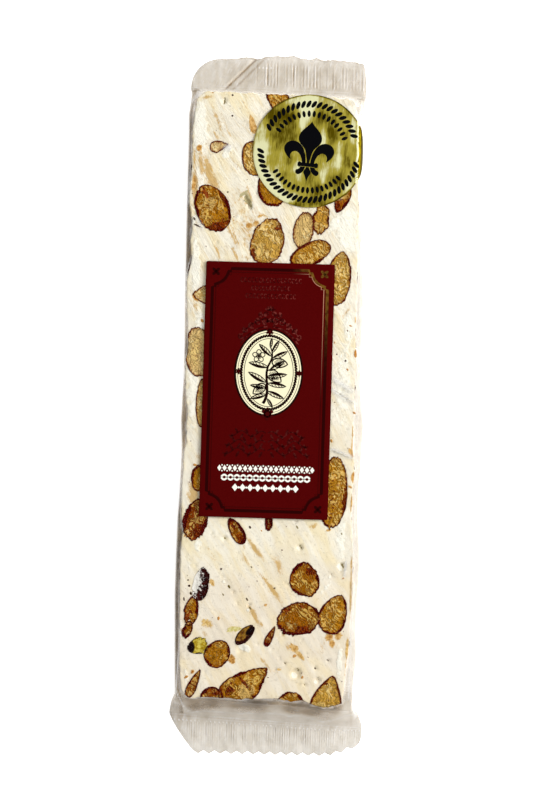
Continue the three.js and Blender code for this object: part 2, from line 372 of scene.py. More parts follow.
# %% Node group: ragged line
def build_ragged_line():
    """1 within Reach mm of an edge and 0 further in; Fray is how far the border wanders, in mm."""
    tree = bpy.data.node_groups.new("ragged_line", "ShaderNodeTree")
    group_socket(tree, "Place", "INPUT", "NodeSocketVector")
    for name, default in (("Distance", 0.0), ("Reach", 0.5), ("Fray", 0.2), ("Soft", 0.1)):
        group_socket(tree, name, "INPUT", default=default)
    group_socket(tree, "Mask", "OUTPUT")
    inputs = tree.nodes.new("NodeGroupInput").outputs
    wander = maths("SUBTRACT", mottle(inputs["Place"], 0.9, 4), 0.5)
    wander = times(wander, times(inputs["Fray"], 4))
    gap = maths("SUBTRACT", inputs["Distance"], maths("ADD", inputs["Reach"], wander))
    share = maths("DIVIDE", gap, inputs["Soft"])
    mask = maths("SUBTRACT", 0.5, share, clamp=True)
    outputs = tree.nodes.new("NodeGroupOutput")
    tree.links.new(mask, outputs.inputs["Mask"])
    return tree


ragged_group = build_ragged_line()


def ragged_line(place, distance, reach, fray, soft):
    values = {"Place": place, "Distance": distance, "Reach": reach, "Fray": fray, "Soft": soft}
    settings = {"node_tree": ragged_group}
    return add(tree_of(place), "ShaderNodeGroup", settings, **values).outputs["Mask"]


# %% [markdown]
# ## The surround and the floor
# The surround is all that the film and the foil can mirror, so it is never quite even. The floor is a plain
# white sheet.


# %% Surround
def build_surround():
    """A white surround that is brighter to the right and overhead than to the left."""
    surround = bpy.data.worlds.new("white_surround")
    surround.use_nodes = True
    tree = surround.node_tree
    direction = split(add(tree, "ShaderNodeTexCoord").outputs["Generated"])
    sideways = times(direction["X"], 0.28, 0.42)
    level = times(direction["Z"], 0.3, sideways)
    background = tree.nodes["Background"]
    tree.links.new(level, background.inputs["Strength"])
    background.inputs["Color"].default_value = (1, 1, 1, 1)
    return surround


scene.world = build_surround()

# %% Floor
FLOOR_REACH = 900  # from the middle to each side, mm
floor_corners = [(x * FLOOR_REACH, y * FLOOR_REACH, 0) for x, y in ((-1, -1), (1, -1), (1, 1), (-1, 1))]
floor = make_piece("floor", floor_corners, [(0, 1, 2, 3)], closed=False)
floor_paint, floor_tree, floor_shader = new_material("white_sheet", 0.9, Emission_Strength=0.62)
floor_shader.inputs["Emission Color"].default_value = (1, 1, 1, 1)
floor_white = blend(mottle(millimetres(floor_tree), 0.4), rgb(252, 252, 252), rgb(248, 248, 248))
paint(floor_shader, floor_white)
floor.data.materials.append(floor_paint)

# %% [markdown]
# ## The slab's shape
# Nougat is poured between wafers or papers, pressed flat and sawn into bars while it is still soft. The
# blade drags it, so a cut bar has slightly skewed ends, sides that swell in the middle, small tears and
# bubbles. Its outline here is short tables of where each side runs and each end is cut. Fine noise
# roughens them, and one function finds any place on the skin, over the edges and down the sides.

# %% Slab outline
SLAB_TOP = FILM_TOP - 0.25
SLAB_BOTTOM = 0.3
SLAB_ROUND = 0.5  # radius of its worn edges
TOP_END, TOP_SKEW = 102.7, -0.028  # y of the upper cut on the middle line, and its slope over x
BOTTOM_END, BOTTOM_SKEW = -97.6, -0.056
CORNER_CUT = {1: 2.2, -1: 1.6}  # how far the worn corners fall back from each end
# The lower cut wanders: x, and how far it stands back from its line
LOWER_CUT = np.array([
    (-27, -0.7), (-24, -1.3), (-20.5, -0.5), (-14, -0.3), (-6, -0.3), (0, 0.5), (4.5, 0.9), (9, 0.3),
    (13, 0.9), (16, -0.1), (20, -0.8), (25.5, 0.3),
])
# The long sides: y and x
LEFT_SIDE = np.array([
    (-100, -26.4), (-96, -27.2), (-89, -27.9), (-80, -28.1), (-53, -28.4), (-46, -28.1), (-43, -27.4),
    (-40, -28.2), (-36, -28.5), (-17, -28.1), (-13, -27.2), (-7, -27.6), (-4, -27), (0, -27.5),
    (6, -28), (13, -28.2), (19, -27.3), (33, -28.2), (43, -28.4), (46, -27.8), (49, -26.9), (56, -27.6),
    (59, -27.1), (63, -27.1), (66, -28.1), (72, -28.2), (82, -27.7), (95, -27.7), (99, -27),
    (103, -26.3),
])
RIGHT_SIDE = np.array([
    (-100, 25.9), (-98, 26), (-95, 26.6), (-88, 27), (-81, 27.6), (-78, 28.1), (-72, 28), (-65, 28.5),
    (-60, 28.8), (-50, 28.7), (-45, 28.4), (-35, 27.8), (-28, 27.8), (-20, 28.4), (-12, 27.7),
    (-5, 27.6), (1, 28), (11, 27.8), (18, 28.2), (22, 27.7), (34, 27.6), (41, 27.9), (54, 27.7),
    (70, 27.7), (85, 27.3), (97, 27), (101, 26),
])


def at_station(stations, place):
    """The value that a table of places and values has at a place between them."""
    return np.interp(place, stations[:, 0], stations[:, 1])


def slab_side(side, y):
    """x of the left (-1) or right (1) side at y."""
    quick = noise.noise((y * 0.5, side * 4.1, 3.3)) + 0.8 * noise.noise((y * 1.3, side * 2.3, 6.1))
    return float(at_station(LEFT_SIDE if side < 0 else RIGHT_SIDE, y)) + side * 0.15 + 0.16 * quick


def slab_end(direction, x):
    """y of the upper (1) or lower (-1) cut end at x."""
    ragged = 0.35 * noise.noise((x * 0.25, direction * 5.3, 0.7))
    ragged += 0.2 * noise.noise((x * 0.9, direction, 2.2))
    ragged -= direction * CORNER_CUT[direction] * min(max((abs(x) - 23.0) / 4.0, 0.0), 1.2) ** 2
    if direction > 0:
        return TOP_END + TOP_SKEW * x + 1.6 * ragged
    return BOTTOM_END + BOTTOM_SKEW * x + ragged + float(at_station(LOWER_CUT, x))


def over_edge(beyond):
    """How far in and down a point lies when the skin is followed past the start of a rounded edge.
    Returns the way out, the way down and the outward tilt of the skin."""
    quarter = SLAB_ROUND * math.pi / 2
    if beyond <= 0:
        return 0.0, 0.0, 0.0
    if beyond < quarter:
        angle = beyond / SLAB_ROUND
        return SLAB_ROUND * math.sin(angle), SLAB_ROUND * (1 - math.cos(angle)), angle
    return SLAB_ROUND, SLAB_ROUND + beyond - quarter, math.pi / 2


def on_slab(x, y, upward=1):
    """The place on the slab's skin, and its outward direction, for a flat place (x, y) on its top that
    may run past an edge and then follows the skin down. With upward -1 it starts from the underside."""
    level = SLAB_TOP if upward > 0 else SLAB_BOTTOM
    for direction in (1, -1):
        start = slab_end(direction, x) - direction * SLAB_ROUND
        if direction * (y - start) > 0:
            out, down, tilt = over_edge(direction * (y - start))
            place = (x, start + direction * out, level - upward * down)
            return place, (0, direction * math.sin(tilt), upward * math.cos(tilt))
    for side in (1, -1):
        start = slab_side(side, y) - side * SLAB_ROUND
        if side * (x - start) > 0:
            out, down, tilt = over_edge(side * (x - start))
            place = (start + side * out, y, level - upward * down)
            return place, (side * math.sin(tilt), 0, upward * math.cos(tilt))
    return (x, y, level), (0, 0, upward)


print("slab length and thickness, mm:", round(TOP_END - BOTTOM_END, 1), SLAB_TOP - SLAB_BOTTOM)

# %% [markdown]
# The relief of the skin is one function of place, so that the nuts can follow it exactly. Wide swells
# come first, then drag marks that run down to the right, then small lumps. Bubbles that the blade opened
# are round hollows, given one by one where they are large and scattered by a seeded draw where small.

# %% Slab relief
DRAG = -58.0  # direction of the drag marks, degrees from +X

# Opened bubbles on the top: x, y, radius, depth
BUBBLES = [
    (10.9, -46.8, 1.1, 0.7), (25.1, -52.7, 1.3, 0.8), (21.7, -55.6, 0.5, 0.4), (10.7, -88.5, 1.7, 1),
    (17.9, -90.5, 1, 0.7), (21.4, -84, 0.6, 0.5), (17.1, -86.6, 0.7, 0.5), (13.8, -92.1, 0.6, 0.4),
    (7.1, -85.2, 0.5, 0.4), (-7.7, -80.9, 1.3, 0.6), (-13.8, -44.3, 0.8, 0.6), (-5.3, -66, 0.6, 0.5),
    (-10.5, -62, 0.5, 0.4), (-17.4, 100, 0.8, 0.6), (9.5, -38, 0.6, 0.5), (23.6, 5.5, 0.6, 0.4),
    (-9, 67, 0.9, 0.9), (-8.4, 65.2, 0.8, 0.9), (-9.8, 68.4, 0.7, 0.6), (-10.6, 67.2, 0.5, 0.5),
]
BUBBLE_SEED, SMALL_BUBBLES = 7, 160
random = np.random.default_rng(BUBBLE_SEED)
for _ in range(SMALL_BUBBLES):
    BUBBLES.append((random.uniform(-26, 26), random.uniform(-95, 100), random.uniform(0.22, 0.5), 0.35))


def slab_relief(points):
    """How far the skin stands off its plain shape at each point, in mm."""
    points = np.asarray(points, float)
    px, py, pz = points.T
    along, across = along_across(px, py, DRAG)
    drawn = np.column_stack((along * 0.08, across * 0.55, pz * 0.4))
    height = 0.16 * bumps(points, 0.05, 1) + 0.1 * bumps(drawn, 1, 2) + 0.05 * bumps(points, 0.45, 3)
    height += 0.04 * bumps(drawn * (1, 3.2, 2), 1, 4) - 0.1
    crust = ease((np.abs(px) - 23.5) / 3)
    height += 0.13 * crust * bumps(points * (1, 0.6, 1), 0.9, 5)
    top = pz > SLAB_TOP - 0.5
    for x, y, radius, depth in BUBBLES:
        away = np.hypot(px - x, py - y) / radius
        inside = top & (away < 1.25)
        height[inside] -= depth * ease((1.25 - away[inside]) / 0.6)
    return height


# %% Slab mesh
SLAB_STATIONS = 445  # rings along the slab, its rounded ends left out


def slab_rings():
    """Rings of points round the slab, closing to a line in the middle of each end."""
    top_count, side_count, bottom_count = 126, 11, 42
    half = (SLAB_TOP - SLAB_BOTTOM) / 2
    quarter = np.linspace(0, math.pi / 2, 4)[1:-1]
    steps = np.linspace(0, 1, SLAB_STATIONS)
    stations = [(mix(BOTTOM_END + SLAB_ROUND, TOP_END - SLAB_ROUND, step), 0.0) for step in steps]
    insets = [SLAB_ROUND * (1 - math.cos(a)) for a in np.linspace(0, math.pi / 2, 5)[1:]]
    outs = [SLAB_ROUND * math.sin(a) for a in np.linspace(0, math.pi / 2, 5)[1:]]
    for inset in np.linspace(SLAB_ROUND, half - 0.01, 12)[1:]:
        insets.append(inset)
        outs.append(SLAB_ROUND)
    upper = [(TOP_END - SLAB_ROUND + out, inset) for out, inset in zip(outs, insets)]
    lower = [(BOTTOM_END + SLAB_ROUND - out, inset) for out, inset in zip(outs, insets)]
    rings = []
    for y, inset in lower[::-1] + stations + upper:
        left = slab_side(-1, y) + inset
        right = slab_side(1, y) - inset
        top, bottom = SLAB_TOP - inset, SLAB_BOTTOM + inset
        radius = min(SLAB_ROUND, (top - bottom) / 2)
        x_low, x_high, z_low, z_high = left + radius, right - radius, bottom + radius, top - radius
        bend = [(radius * math.sin(a), radius * math.cos(a)) for a in quarter]
        ring = [(x, top) for x in np.linspace(x_low, x_high, top_count)]
        ring += [(x_high + near, z_high + far) for near, far in bend]
        ring += [(right, z) for z in np.linspace(z_high, z_low, side_count)]
        ring += [(x_high + far, z_low - near) for near, far in bend]
        ring += [(x, bottom) for x in np.linspace(x_high, x_low, bottom_count)]
        ring += [(x_low - near, z_low - far) for near, far in bend]
        ring += [(left, z) for z in np.linspace(z_low, z_high, side_count)]
        ring += [(x_low - far, z_high + near) for near, far in bend]
        share = (y - BOTTOM_END) / (TOP_END - BOTTOM_END)
        rows = []
        for x, z in ring:
            lower_shift = slab_end(-1, x) - BOTTOM_END
            upper_shift = slab_end(1, x) - TOP_END
            rows.append((x, y + mix(lower_shift, upper_shift, ease(share)), z))
        rings.append(rows)
    return np.array(rings)


def outward(points):
    """Outward direction of a rounded box at points on its skin."""
    core = points.copy()
    core[:, 2] = np.clip(core[:, 2], SLAB_BOTTOM + SLAB_ROUND, SLAB_TOP - SLAB_ROUND)
    sides = np.array([(slab_side(-1, y), slab_side(1, y)) for y in points[:, 1]])
    core[:, 0] = np.clip(core[:, 0], sides[:, 0] + SLAB_ROUND, sides[:, 1] - SLAB_ROUND)
    ends = np.array([(slab_end(-1, x), slab_end(1, x)) for x in points[:, 0]])
    core[:, 1] = np.clip(core[:, 1], ends[:, 0] + SLAB_ROUND, ends[:, 1] - SLAB_ROUND)
    away = points - core
    length = np.linalg.norm(away, axis=1, keepdims=True)
    return away / np.maximum(length, 1e-6)

# %% [markdown]
# ## Where the nuts lie
# Sawing cuts straight through the nuts, so each shows as a flat section with a thin dark skin round it.
# One row below describes one section: its middle, its length and width, the turn of its long axis, how
# pointed it is, how ragged its outline is, and how dark its flesh. The sides, the ends and the underside
# get sections of the same kinds from a seeded draw.

# %% Nut sections
# x, y, length, width, turn, pointed, ragged, tone
ALMONDS = [
    # Above the card
    (0.2, 101.4, 13.4, 6.9, 121, 0.1, 0.1, 0.42), (-18.9, 85.1, 6.2, 3.6, 12, 0.6, 0.18, 0.05),
    (-7.2, 81.3, 11.8, 8, 98, 0, 0.06, 0.26), (-1.2, 71.2, 11.6, 9, 111, 0, 0.12, 0.4),
    (-20.6, 64.6, 16.4, 11, 114, 0.05, 0.06, 0.46), (-2.2, 54, 15.6, 11.3, 80, 0.12, 0.14, 0.24),
    (9.6, 58, 12.2, 6.8, 80, 0, 0.07, 0.12), (15.4, 61.8, 10.4, 5.6, 84, 0.1, 0.24, 0.3),
    (22.2, 68.4, 9.4, 4.8, 250, 0.35, 0.08, 0.62), (12.2, 50.3, 14.6, 7.6, 26, 0, 0.08, 0.36),
    # Beside the card and along its lower edge
    (21.6, 42.4, 18.6, 8.4, 80, 0.25, 0.09, 0.26), (-20.2, 36.1, 12, 7.4, 180, 0.35, 0.06, 0.14),
    (-24.2, 17.1, 16, 8.8, 91, 0, 0.1, 0.08), (-22.1, 0.2, 16.5, 4.8, 92, 0.2, 0.08, 0.18),
    (-22.9, -24.6, 8.8, 5, 91, 0.1, 0.28, 0.42), (-23.6, -38.2, 13.4, 8, 80, 0.1, 0.14, 0.8),
    (-10, -41.8, 9.8, 4.4, 119, 0.15, 0.06, 0.66), (0.6, -38.6, 6, 2.7, 91, 0, 0.2, 1),
    (21.6, -28.2, 24.2, 9.4, 88, 0.05, 0.09, 0.38),
    # Below the card
    (12.8, -57.3, 11.4, 10, 95, 0.12, 0.12, 0.56), (11.2, -70.3, 14, 11.2, 8, 0, 0.32, 0.6),
    (22.7, -68.6, 13.6, 9.2, 70, 0.28, 0.07, 0.42), (1.9, -76.4, 7.2, 2.3, 66, 0.5, 0.12, 0.85),
    (-24.3, -68.6, 10, 4.8, 81, 0.1, 0.12, 0.5), (-25.4, -74.6, 6, 3.2, 71, 0.1, 0.32, 0.6),
    (-15.3, -82.5, 9.6, 8.4, 61, 0.05, 0.08, 0.46), (-23, -92.5, 10.4, 3, 66, 0.5, 0.12, 0.7),
    (-16.9, -96.8, 7.6, 6.8, 6, 0, 0.1, 0.72), (-6.2, -93, 18.8, 9.9, 40, 0.46, 0.1, 0.46),
    (9.2, -99.2, 9.6, 9, 1, 0, 0.1, 0.44), (21.3, -96.4, 15.4, 9.8, 76, 0.48, 0.07, 0.26),
]
PISTACHIOS = [
    (-21.3, -59.6, 11.4, 5.4, 82, 0.15, 0.16, 1), (-6.5, -76.1, 8.4, 4.1, 46, 0, 0.14, 0.8),
    (-22, -80.1, 6.9, 5.3, 196, 0.3, 0.24, 0.15),
]
# Nut flakes that lie in the nougat without a skin
CHIPS = [
    (-8, 92.6, 6.8, 2.3, 105, 0.5, 0.1, 0.6), (-25.4, 84.3, 2.3, 1.9, 70, 0, 0.4, 0.85),
    (-26.8, 72.6, 5.6, 1.3, 88, 0, 0.9, 0.7), (-8.3, 59.1, 2.3, 1.9, 20, 0, 0.6, 0.7),
    (-6, 59.9, 2.1, 1.9, 60, 0, 0.6, 0.65), (-25.4, 34.9, 2.8, 1.7, -40, 0, 0.9, 1),
    (-17.6, -59.1, 2.6, 1.5, -60, 0.3, 0.5, 0.5), (-19.4, -72.3, 3.4, 2.2, -20, 0, 1.1, 0.3),
    (9.8, -80, 3.6, 2.6, -35, 0, 0.9, 0.6), (12, -82.4, 4.2, 1.5, -48, 0.2, 0.6, 0.5),
    (21.4, -76.2, 3, 2.4, 20, 0, 0.8, 0.75), (24.4, -75.6, 2.8, 2.4, 60, 0, 0.8, 0.6),
    (22.4, -78.2, 2.6, 2, 90, 0, 0.7, 0.75), (-10.6, -84.2, 3.2, 2.5, -60, 0, 0.5, 0.8),
    (-23.4, -88.6, 1.5, 1.2, 60, 0, 0.6, 1), (5.2, -87.2, 1.3, 0.8, 0, 0.3, 0.4, 0.5),
    (28, 17.6, 2.6, 1.3, 90, 0, 0.4, 1), (27.8, 28.8, 2, 0.9, 90, 0, 0.5, 0.6),
    (27.2, -15.2, 3.4, 1.2, -62, 0.2, 0.5, 0.7), (28, -23.2, 3.4, 1.4, 84, 0, 0.5, 0.8),
    (28.4, -63, 7.5, 0.9, 91, 0, 0.6, 0.4), (28.2, -52, 3, 0.8, 90, 0, 0.5, 0.5),
    (-10, -74.2, 4.6, 1.9, 8, 0.2, 1.1, 0), (-26.6, -43, 2.6, 1.2, 60, 0, 0.5, 0.8),
    (27.4, -79.5, 6.5, 1, 88, 0, 0.6, 0.4), (27.8, -8, 4, 0.8, 90, 0, 0.6, 0.6),
    (27.2, -26.4, 1.6, 0.8, -30, 0, 0.4, 1), (27.7, -32, 5.6, 0.5, 88, 0, 0.6, 0.6),
    (20.4, -40.8, 1.8, 0.8, 20, 0.2, 0.5, 0.7), (-4.6, 62.4, 2.2, 0.8, 20, 0.3, 0.8, 0.7),
    (0.2, -66, 1.1, 0.9, 30, 0, 0.5, 0.9),
]
# Dark spots: painted shade in small holes and dents of the cut and in two thin lines beside film creases, and
# dark crumbs; the darkest have tone 1
PIT_SHADES_AND_CRUMBS = [
    (-5.6, -40.5, 1, 0.7, -60, 0, 0.2, 1), (-13.9, -44.2, 1.5, 0.6, -62, 0, 0.2, 0.2),
    (-14.8, -54.5, 0.7, 0.6, 0, 0, 0.2, 1), (-12, -60.3, 1.3, 0.7, -55, 0.2, 0.2, 0.4),
    (-6, -64.3, 1.2, 0.5, -60, 0, 0.2, 0.8), (-13.9, -62.9, 0.9, 0.4, -50, 0, 0.2, 0.3),
    (-4.9, -67.2, 1.2, 0.5, -50, 0, 0.2, 0.4), (-4.8, -53.6, 0.8, 0.4, -50, 0, 0.2, 0.6),
    (-26.8, -64.7, 1.2, 0.5, -80, 0, 0.3, 1), (-25.2, -60.3, 0.9, 0.7, 0, 0, 0.4, 1),
    (-24.6, -62.8, 1.2, 0.7, -70, 0, 0.4, 0.9), (-25.6, -58.4, 0.6, 0.5, 0, 0, 0.4, 1),
    (10, -40.1, 1.2, 0.5, -60, 0, 0.2, 0.2), (11.4, -46.6, 2, 0.5, -58, 0.3, 0.2, 0.2),
    (24.7, -41.9, 0.8, 0.4, -60, 0, 0.2, 0.2), (21.8, -55.6, 1, 0.4, -60, 0, 0.2, 0.4),
    (25.3, -52.5, 2.5, 0.6, -62, 0.2, 0.2, 0.2), (3, -60.4, 0.7, 0.5, 30, 0, 0.2, 1),
    (21.2, -84, 1.3, 0.5, -62, 0, 0.2, 0.9), (17, -86.6, 1.4, 0.5, -60, 0, 0.2, 0.9),
    (7.1, -85.2, 1, 0.4, -62, 0, 0.2, 0.5), (18.3, -90, 1.3, 0.5, -40, 0.2, 0.2, 0.5),
    (13.6, -92.1, 0.9, 0.4, -60, 0, 0.2, 0.4), (11.5, -87.4, 1.7, 0.6, -66, 0.2, 0.2, 0.1),
    (-17.4, 100.1, 2.3, 0.5, 86, 0, 0.2, 0.2), (-14.8, 102, 0.7, 0.6, 0, 0, 0.2, 1),
    (-14.7, 95.2, 0.7, 0.6, 0, 0, 0.2, 1), (-8.8, 67.4, 5.2, 2, -66, 0.3, 0.9, 0),
    (-10.4, 69.6, 3.4, 1, 40, 0, 0.8, 0), (23.8, -15.6, 7.2, 0.35, -22, 0.2, 0.3, 0),
    (24.6, 3.2, 7, 0.3, -34, 0.2, 0.3, 0), (8.2, 52.4, 1.2, 0.5, -50, 0, 0.4, 0.3),
    (11.8, 56.2, 1.6, 0.5, -64, 0.3, 0.5, 0.4), (24.6, 15.2, 0.7, 0.6, 0, 0, 0.3, 1),
    (-25.2, 58.6, 3, 0.5, -24, 0.3, 0.5, 0.9), (-26.4, 60.9, 1.2, 0.6, -60, 0, 0.5, 0.8),
    (-15.6, 70, 0.6, 0.5, 0, 0, 0.3, 0.7),
]

# %% [markdown]
# Stains, bruises and pale scars are smooth spots in lists like these: x, y, length, width, turn and
# strength. A function adds them up for any points; the materials then break the spots up with noise.

# %% Spots on the nuts
BRUISES = [
    (-18.9, 58.2, 8.6, 3.6, 25, 1.1), (-22.9, 69.6, 6, 1.8, 120, 0.8), (-17, 67.6, 9, 1.4, 114, 0.9),
    (15, -54.4, 3.6, 3, 0, 1), (12.4, -74.2, 6.4, 3.2, 0, 0.9), (7.4, -67.4, 3.6, 2.2, 40, 0.6),
    (12.6, -66.4, 3.4, 1.8, 0, 0.6), (1.8, -87.4, 3.4, 2, 40, 1), (-11, -94.6, 5, 3.4, 60, 0.7),
    (-6.6, -91.6, 8, 1, -48, 0.9), (20.6, -90.4, 3, 2.2, 75, 0.9), (20.2, 65.4, 5, 3, 70, 0.9),
    (18.4, 58.4, 2.6, 2.2, 80, 0.6), (-23.4, -42.6, 6, 3, 60, 0.9), (-8.6, -44.6, 4, 3, 115, 0.7),
    (-11.6, -39.4, 7, 1, 118, 0.9), (1.6, 58.6, 4, 2.4, 110, 0.7), (-6.6, 50, 5, 1.6, 100, 0.8),
    (16, 54.6, 4, 2, 30, 0.4), (-14.6, -95, 4, 2.4, 30, 0.8), (-19, -98, 3, 2, 30, 0.5),
    (7.2, -96.6, 3, 1.4, 40, 0.5), (21.4, -30, 16, 2.6, 88, 0.35), (25.4, -32, 14, 1.6, 88, 0.8),
    (-25.4, -70, 6, 1.6, 70, 0.8), (-24.6, -80.6, 3.6, 5, 0, 1), (-22, -83, 4, 1.6, 20, 0.8),
    (-4.6, -74.6, 5, 2.4, 46, 0.8),
]
SCARS = [
    (-21.4, 66.4, 5.4, 3.8, 118, 0.75), (-24, 64, 6, 1.8, 112, 0.5), (-4.6, 50.6, 5.6, 3.8, 72, 0.9),
    (-5.8, -95, 6, 4.6, 62, 1), (-8.7, -40.6, 5, 1.7, 119, 1), (-17, 85.3, 2.4, 1.6, 10, 1),
    (22.4, 50.8, 3, 2, 40, 1), (24.8, 45.6, 8, 1.4, 100, 0.8), (-25.4, -76.6, 2.6, 1.8, 60, 1),
    (-24.2, -96.2, 2.4, 1.4, 60, 1), (5.4, -97.4, 2.6, 1.4, 40, 0.8), (19.6, -99, 6, 2.4, -20, 0.9),
    (-23.7, -59, 10, 5.2, 80, 1.2), (22.4, -66.6, 5, 3, 60, 0.4), (14, 59.6, 3, 2, 30, 0.7),
    (18, -72, 2, 2, 0, 0.4), (8.2, -73, 3.8, 3, 0, 0.6), (-25.2, 17, 9, 3, 90, 0.7),
    (20.6, 40, 8, 3, 80, 0.4), (-26, -72.4, 1.6, 1.4, 0, 0.8),
]


def spots_at(points, spots):
    """How strongly a list of spots marks each point, 0 to 1, on the upper face."""
    px, py, pz = np.asarray(points, float).T
    total = np.zeros(len(px))
    for x, y, length, width, turn, strength in spots:
        along, across = along_across(px - x, py - y, turn)
        far = (along / (length / 2)) ** 2 + (across / (width / 2)) ** 2
        total = np.maximum(total, strength * np.exp(-far))
    return total * (pz > SLAB_TOP - 3)


# %% Section meshes
# The rings of a section, as shares of its outline; the last is the edge again, sunk
SHARES = np.concatenate((np.linspace(0.08, 0.86, 8), (0.92, 0.965, 1.0, 1.0)))
SKIRT = 0.5  # how deep the outermost ring of a section is sunk into the nougat


def section_outline(length, width, pointed, ragged, seed, spokes):
    """Points of a nut section's outline about its middle, long axis along X."""
    angles = np.linspace(0, 2 * math.pi, spokes, endpoint=False)
    x = length / 2 * np.cos(angles)
    y = width / 2 * np.sin(angles) * (1 - 0.8 * pointed * np.cos(angles))
    y *= 1 - 0.55 * pointed * np.clip(np.cos(angles), 0, 1) ** 3
    round_trip = np.column_stack((np.cos(angles), np.sin(angles), np.zeros(spokes)))
    # Some stretches of the edge are smooth and others torn
    torn = np.clip(0.65 + 1.8 * bumps(round_trip, 0.8, seed + 1.3), 0.4, 1.3)
    wobble = 0.08 * bumps(round_trip, 0.9, seed) + 0.6 * ragged * torn * bumps(round_trip, 2.6, seed + 0.5)
    wobble += (0.02 + min(ragged, 0.5) * 0.35) * torn * bumps(round_trip, 7, seed + 0.7)
    wobble += (0.02 + min(ragged, 0.3) * 0.3) * torn * bumps(round_trip, 17, seed + 0.9)
    return np.column_stack((x, y)) * (1 + wobble)[:, None]


def nut_mesh(rows, hidden_rows=(), proud=0.09, relief=1.0, spokes=108):
    """Points, faces and numbers of all sections; proud is how far they stand off the nougat. Hidden rows
    start from the underside. The plain places on the slab are returned too."""
    points, faces, skin, tones, plain = [], [], [], [], []
    for order, (row, upward) in enumerate([(r, 1) for r in rows] + [(r, -1) for r in hidden_rows]):
        x, y, length, width, turn, pointed, ragged, tone = row
        seed = 1.7 + order * 2.9
        outline = section_outline(length, width, pointed, ragged, seed, spokes)
        flat = np.concatenate([outline @ spin_by(turn) * share for share in SHARES]) + (x, y)
        found = [on_slab(px, py, upward) for px, py in flat.tolist()]
        base = np.array([place for place, _ in found])
        out = np.array([direction for _, direction in found])
        reach = np.tile(np.linalg.norm(outline, axis=1), len(SHARES))
        edge = reach * (1 - np.repeat(SHARES, spokes))
        rough = 0.1 * bumps(base, 0.6, seed) + 0.08 * bumps(base, 1.7, seed) - 0.05
        hollow = -0.22 * ease(2.6 * bumps(base, 0.3, seed + 4))
        rim = 0.07 * ease(1 - edge / 0.6)
        lift = slab_relief(base) + proud + relief * ((rough + hollow) * ease(edge / 1.2) + rim)
        lift[-spokes:] -= SKIRT
        shell = base + out * lift[:, None]
        first = len(points)
        points.extend(shell.tolist())
        points.append(shell[:spokes].mean(axis=0).tolist())
        faces.extend(loop_faces(len(SHARES), spokes, first))
        middle = first + len(shell)
        faces.extend((first + (i + 1) % spokes, first + i, middle) for i in range(spokes))
        skin.extend(edge.tolist() + [width / 2])
        tones.extend([tone] * (len(shell) + 1))
        plain.extend(base.tolist() + [base[:spokes].mean(axis=0).tolist()])
    marks = {"bruise": spots_at(points, BRUISES), "scar": spots_at(points, SCARS)}
    return points, faces, {"edge_mm": skin, "tone": tones, **marks}, plain


# %% Sections on the hidden faces
def drawn_sections(count, place, low, high):
    """Sections from a seeded draw, low to high mm long; place gives the middle of each."""
    rows = []
    for i in range(count):
        length = random.uniform(low, high)
        width = length * random.uniform(0.5, 0.85)
        x, y = place(i, count)
        turn = random.uniform(0, 180)
        pointed, tone = random.uniform(0, 0.3), random.uniform(0.1, 0.9)
        rows.append((x, y, length, width, turn, pointed, 0.1, tone))
    return rows


SECTION_SEED = 23
random = np.random.default_rng(SECTION_SEED)
SIDE_REACH = 34.4  # from the middle line over the edge to the middle of a side, along the skin


def side_place(side):
    """Middles along one long side, clear of each other."""
    return lambda i, n: (side * SIDE_REACH, mix(-84, 90, (i + 0.5) / n) + random.uniform(-5, 5))


right_rows = drawn_sections(9, side_place(1), 5, 9.5)
left_rows = drawn_sections(9, side_place(-1), 5, 9.5)
top_end_rows = drawn_sections(3, lambda i, n: (-16 + 16 * i, TOP_END + 6.6), 5, 9)
bottom_end_rows = drawn_sections(2, lambda i, n: (-22 + 38 * i, BOTTOM_END - 7.4), 5, 8)
under_rows = drawn_sections(
    22, lambda i, n: (14.5 * ((i % 3) - 1) + random.uniform(-3, 3), mix(-88, 94, (i + 0.5) / n)), 8, 16
)
print("sections drawn:", len(right_rows + left_rows + top_end_rows + bottom_end_rows + under_rows))

side_rows = right_rows + left_rows + top_end_rows + bottom_end_rows
nut_meshes = {
    "almond_sections": nut_mesh(ALMONDS + side_rows, under_rows),
    "pistachio_sections": nut_mesh(PISTACHIOS),
    "nut_chips": nut_mesh(CHIPS, proud=0.05, relief=0.3, spokes=60),
    "pit_shades_and_crumbs": nut_mesh(PIT_SHADES_AND_CRUMBS, proud=0.03, relief=0.0, spokes=40),
}


def dress_nuts(name, material, *nodes):
    """Makes the piece of one kind of section, and dresses it."""
    points, faces, numbers, _ = nut_meshes[name]
    piece = make_piece(name, points, faces, numbers, closed=False)
    dress(piece, material, "nougat_in_film", *nodes)
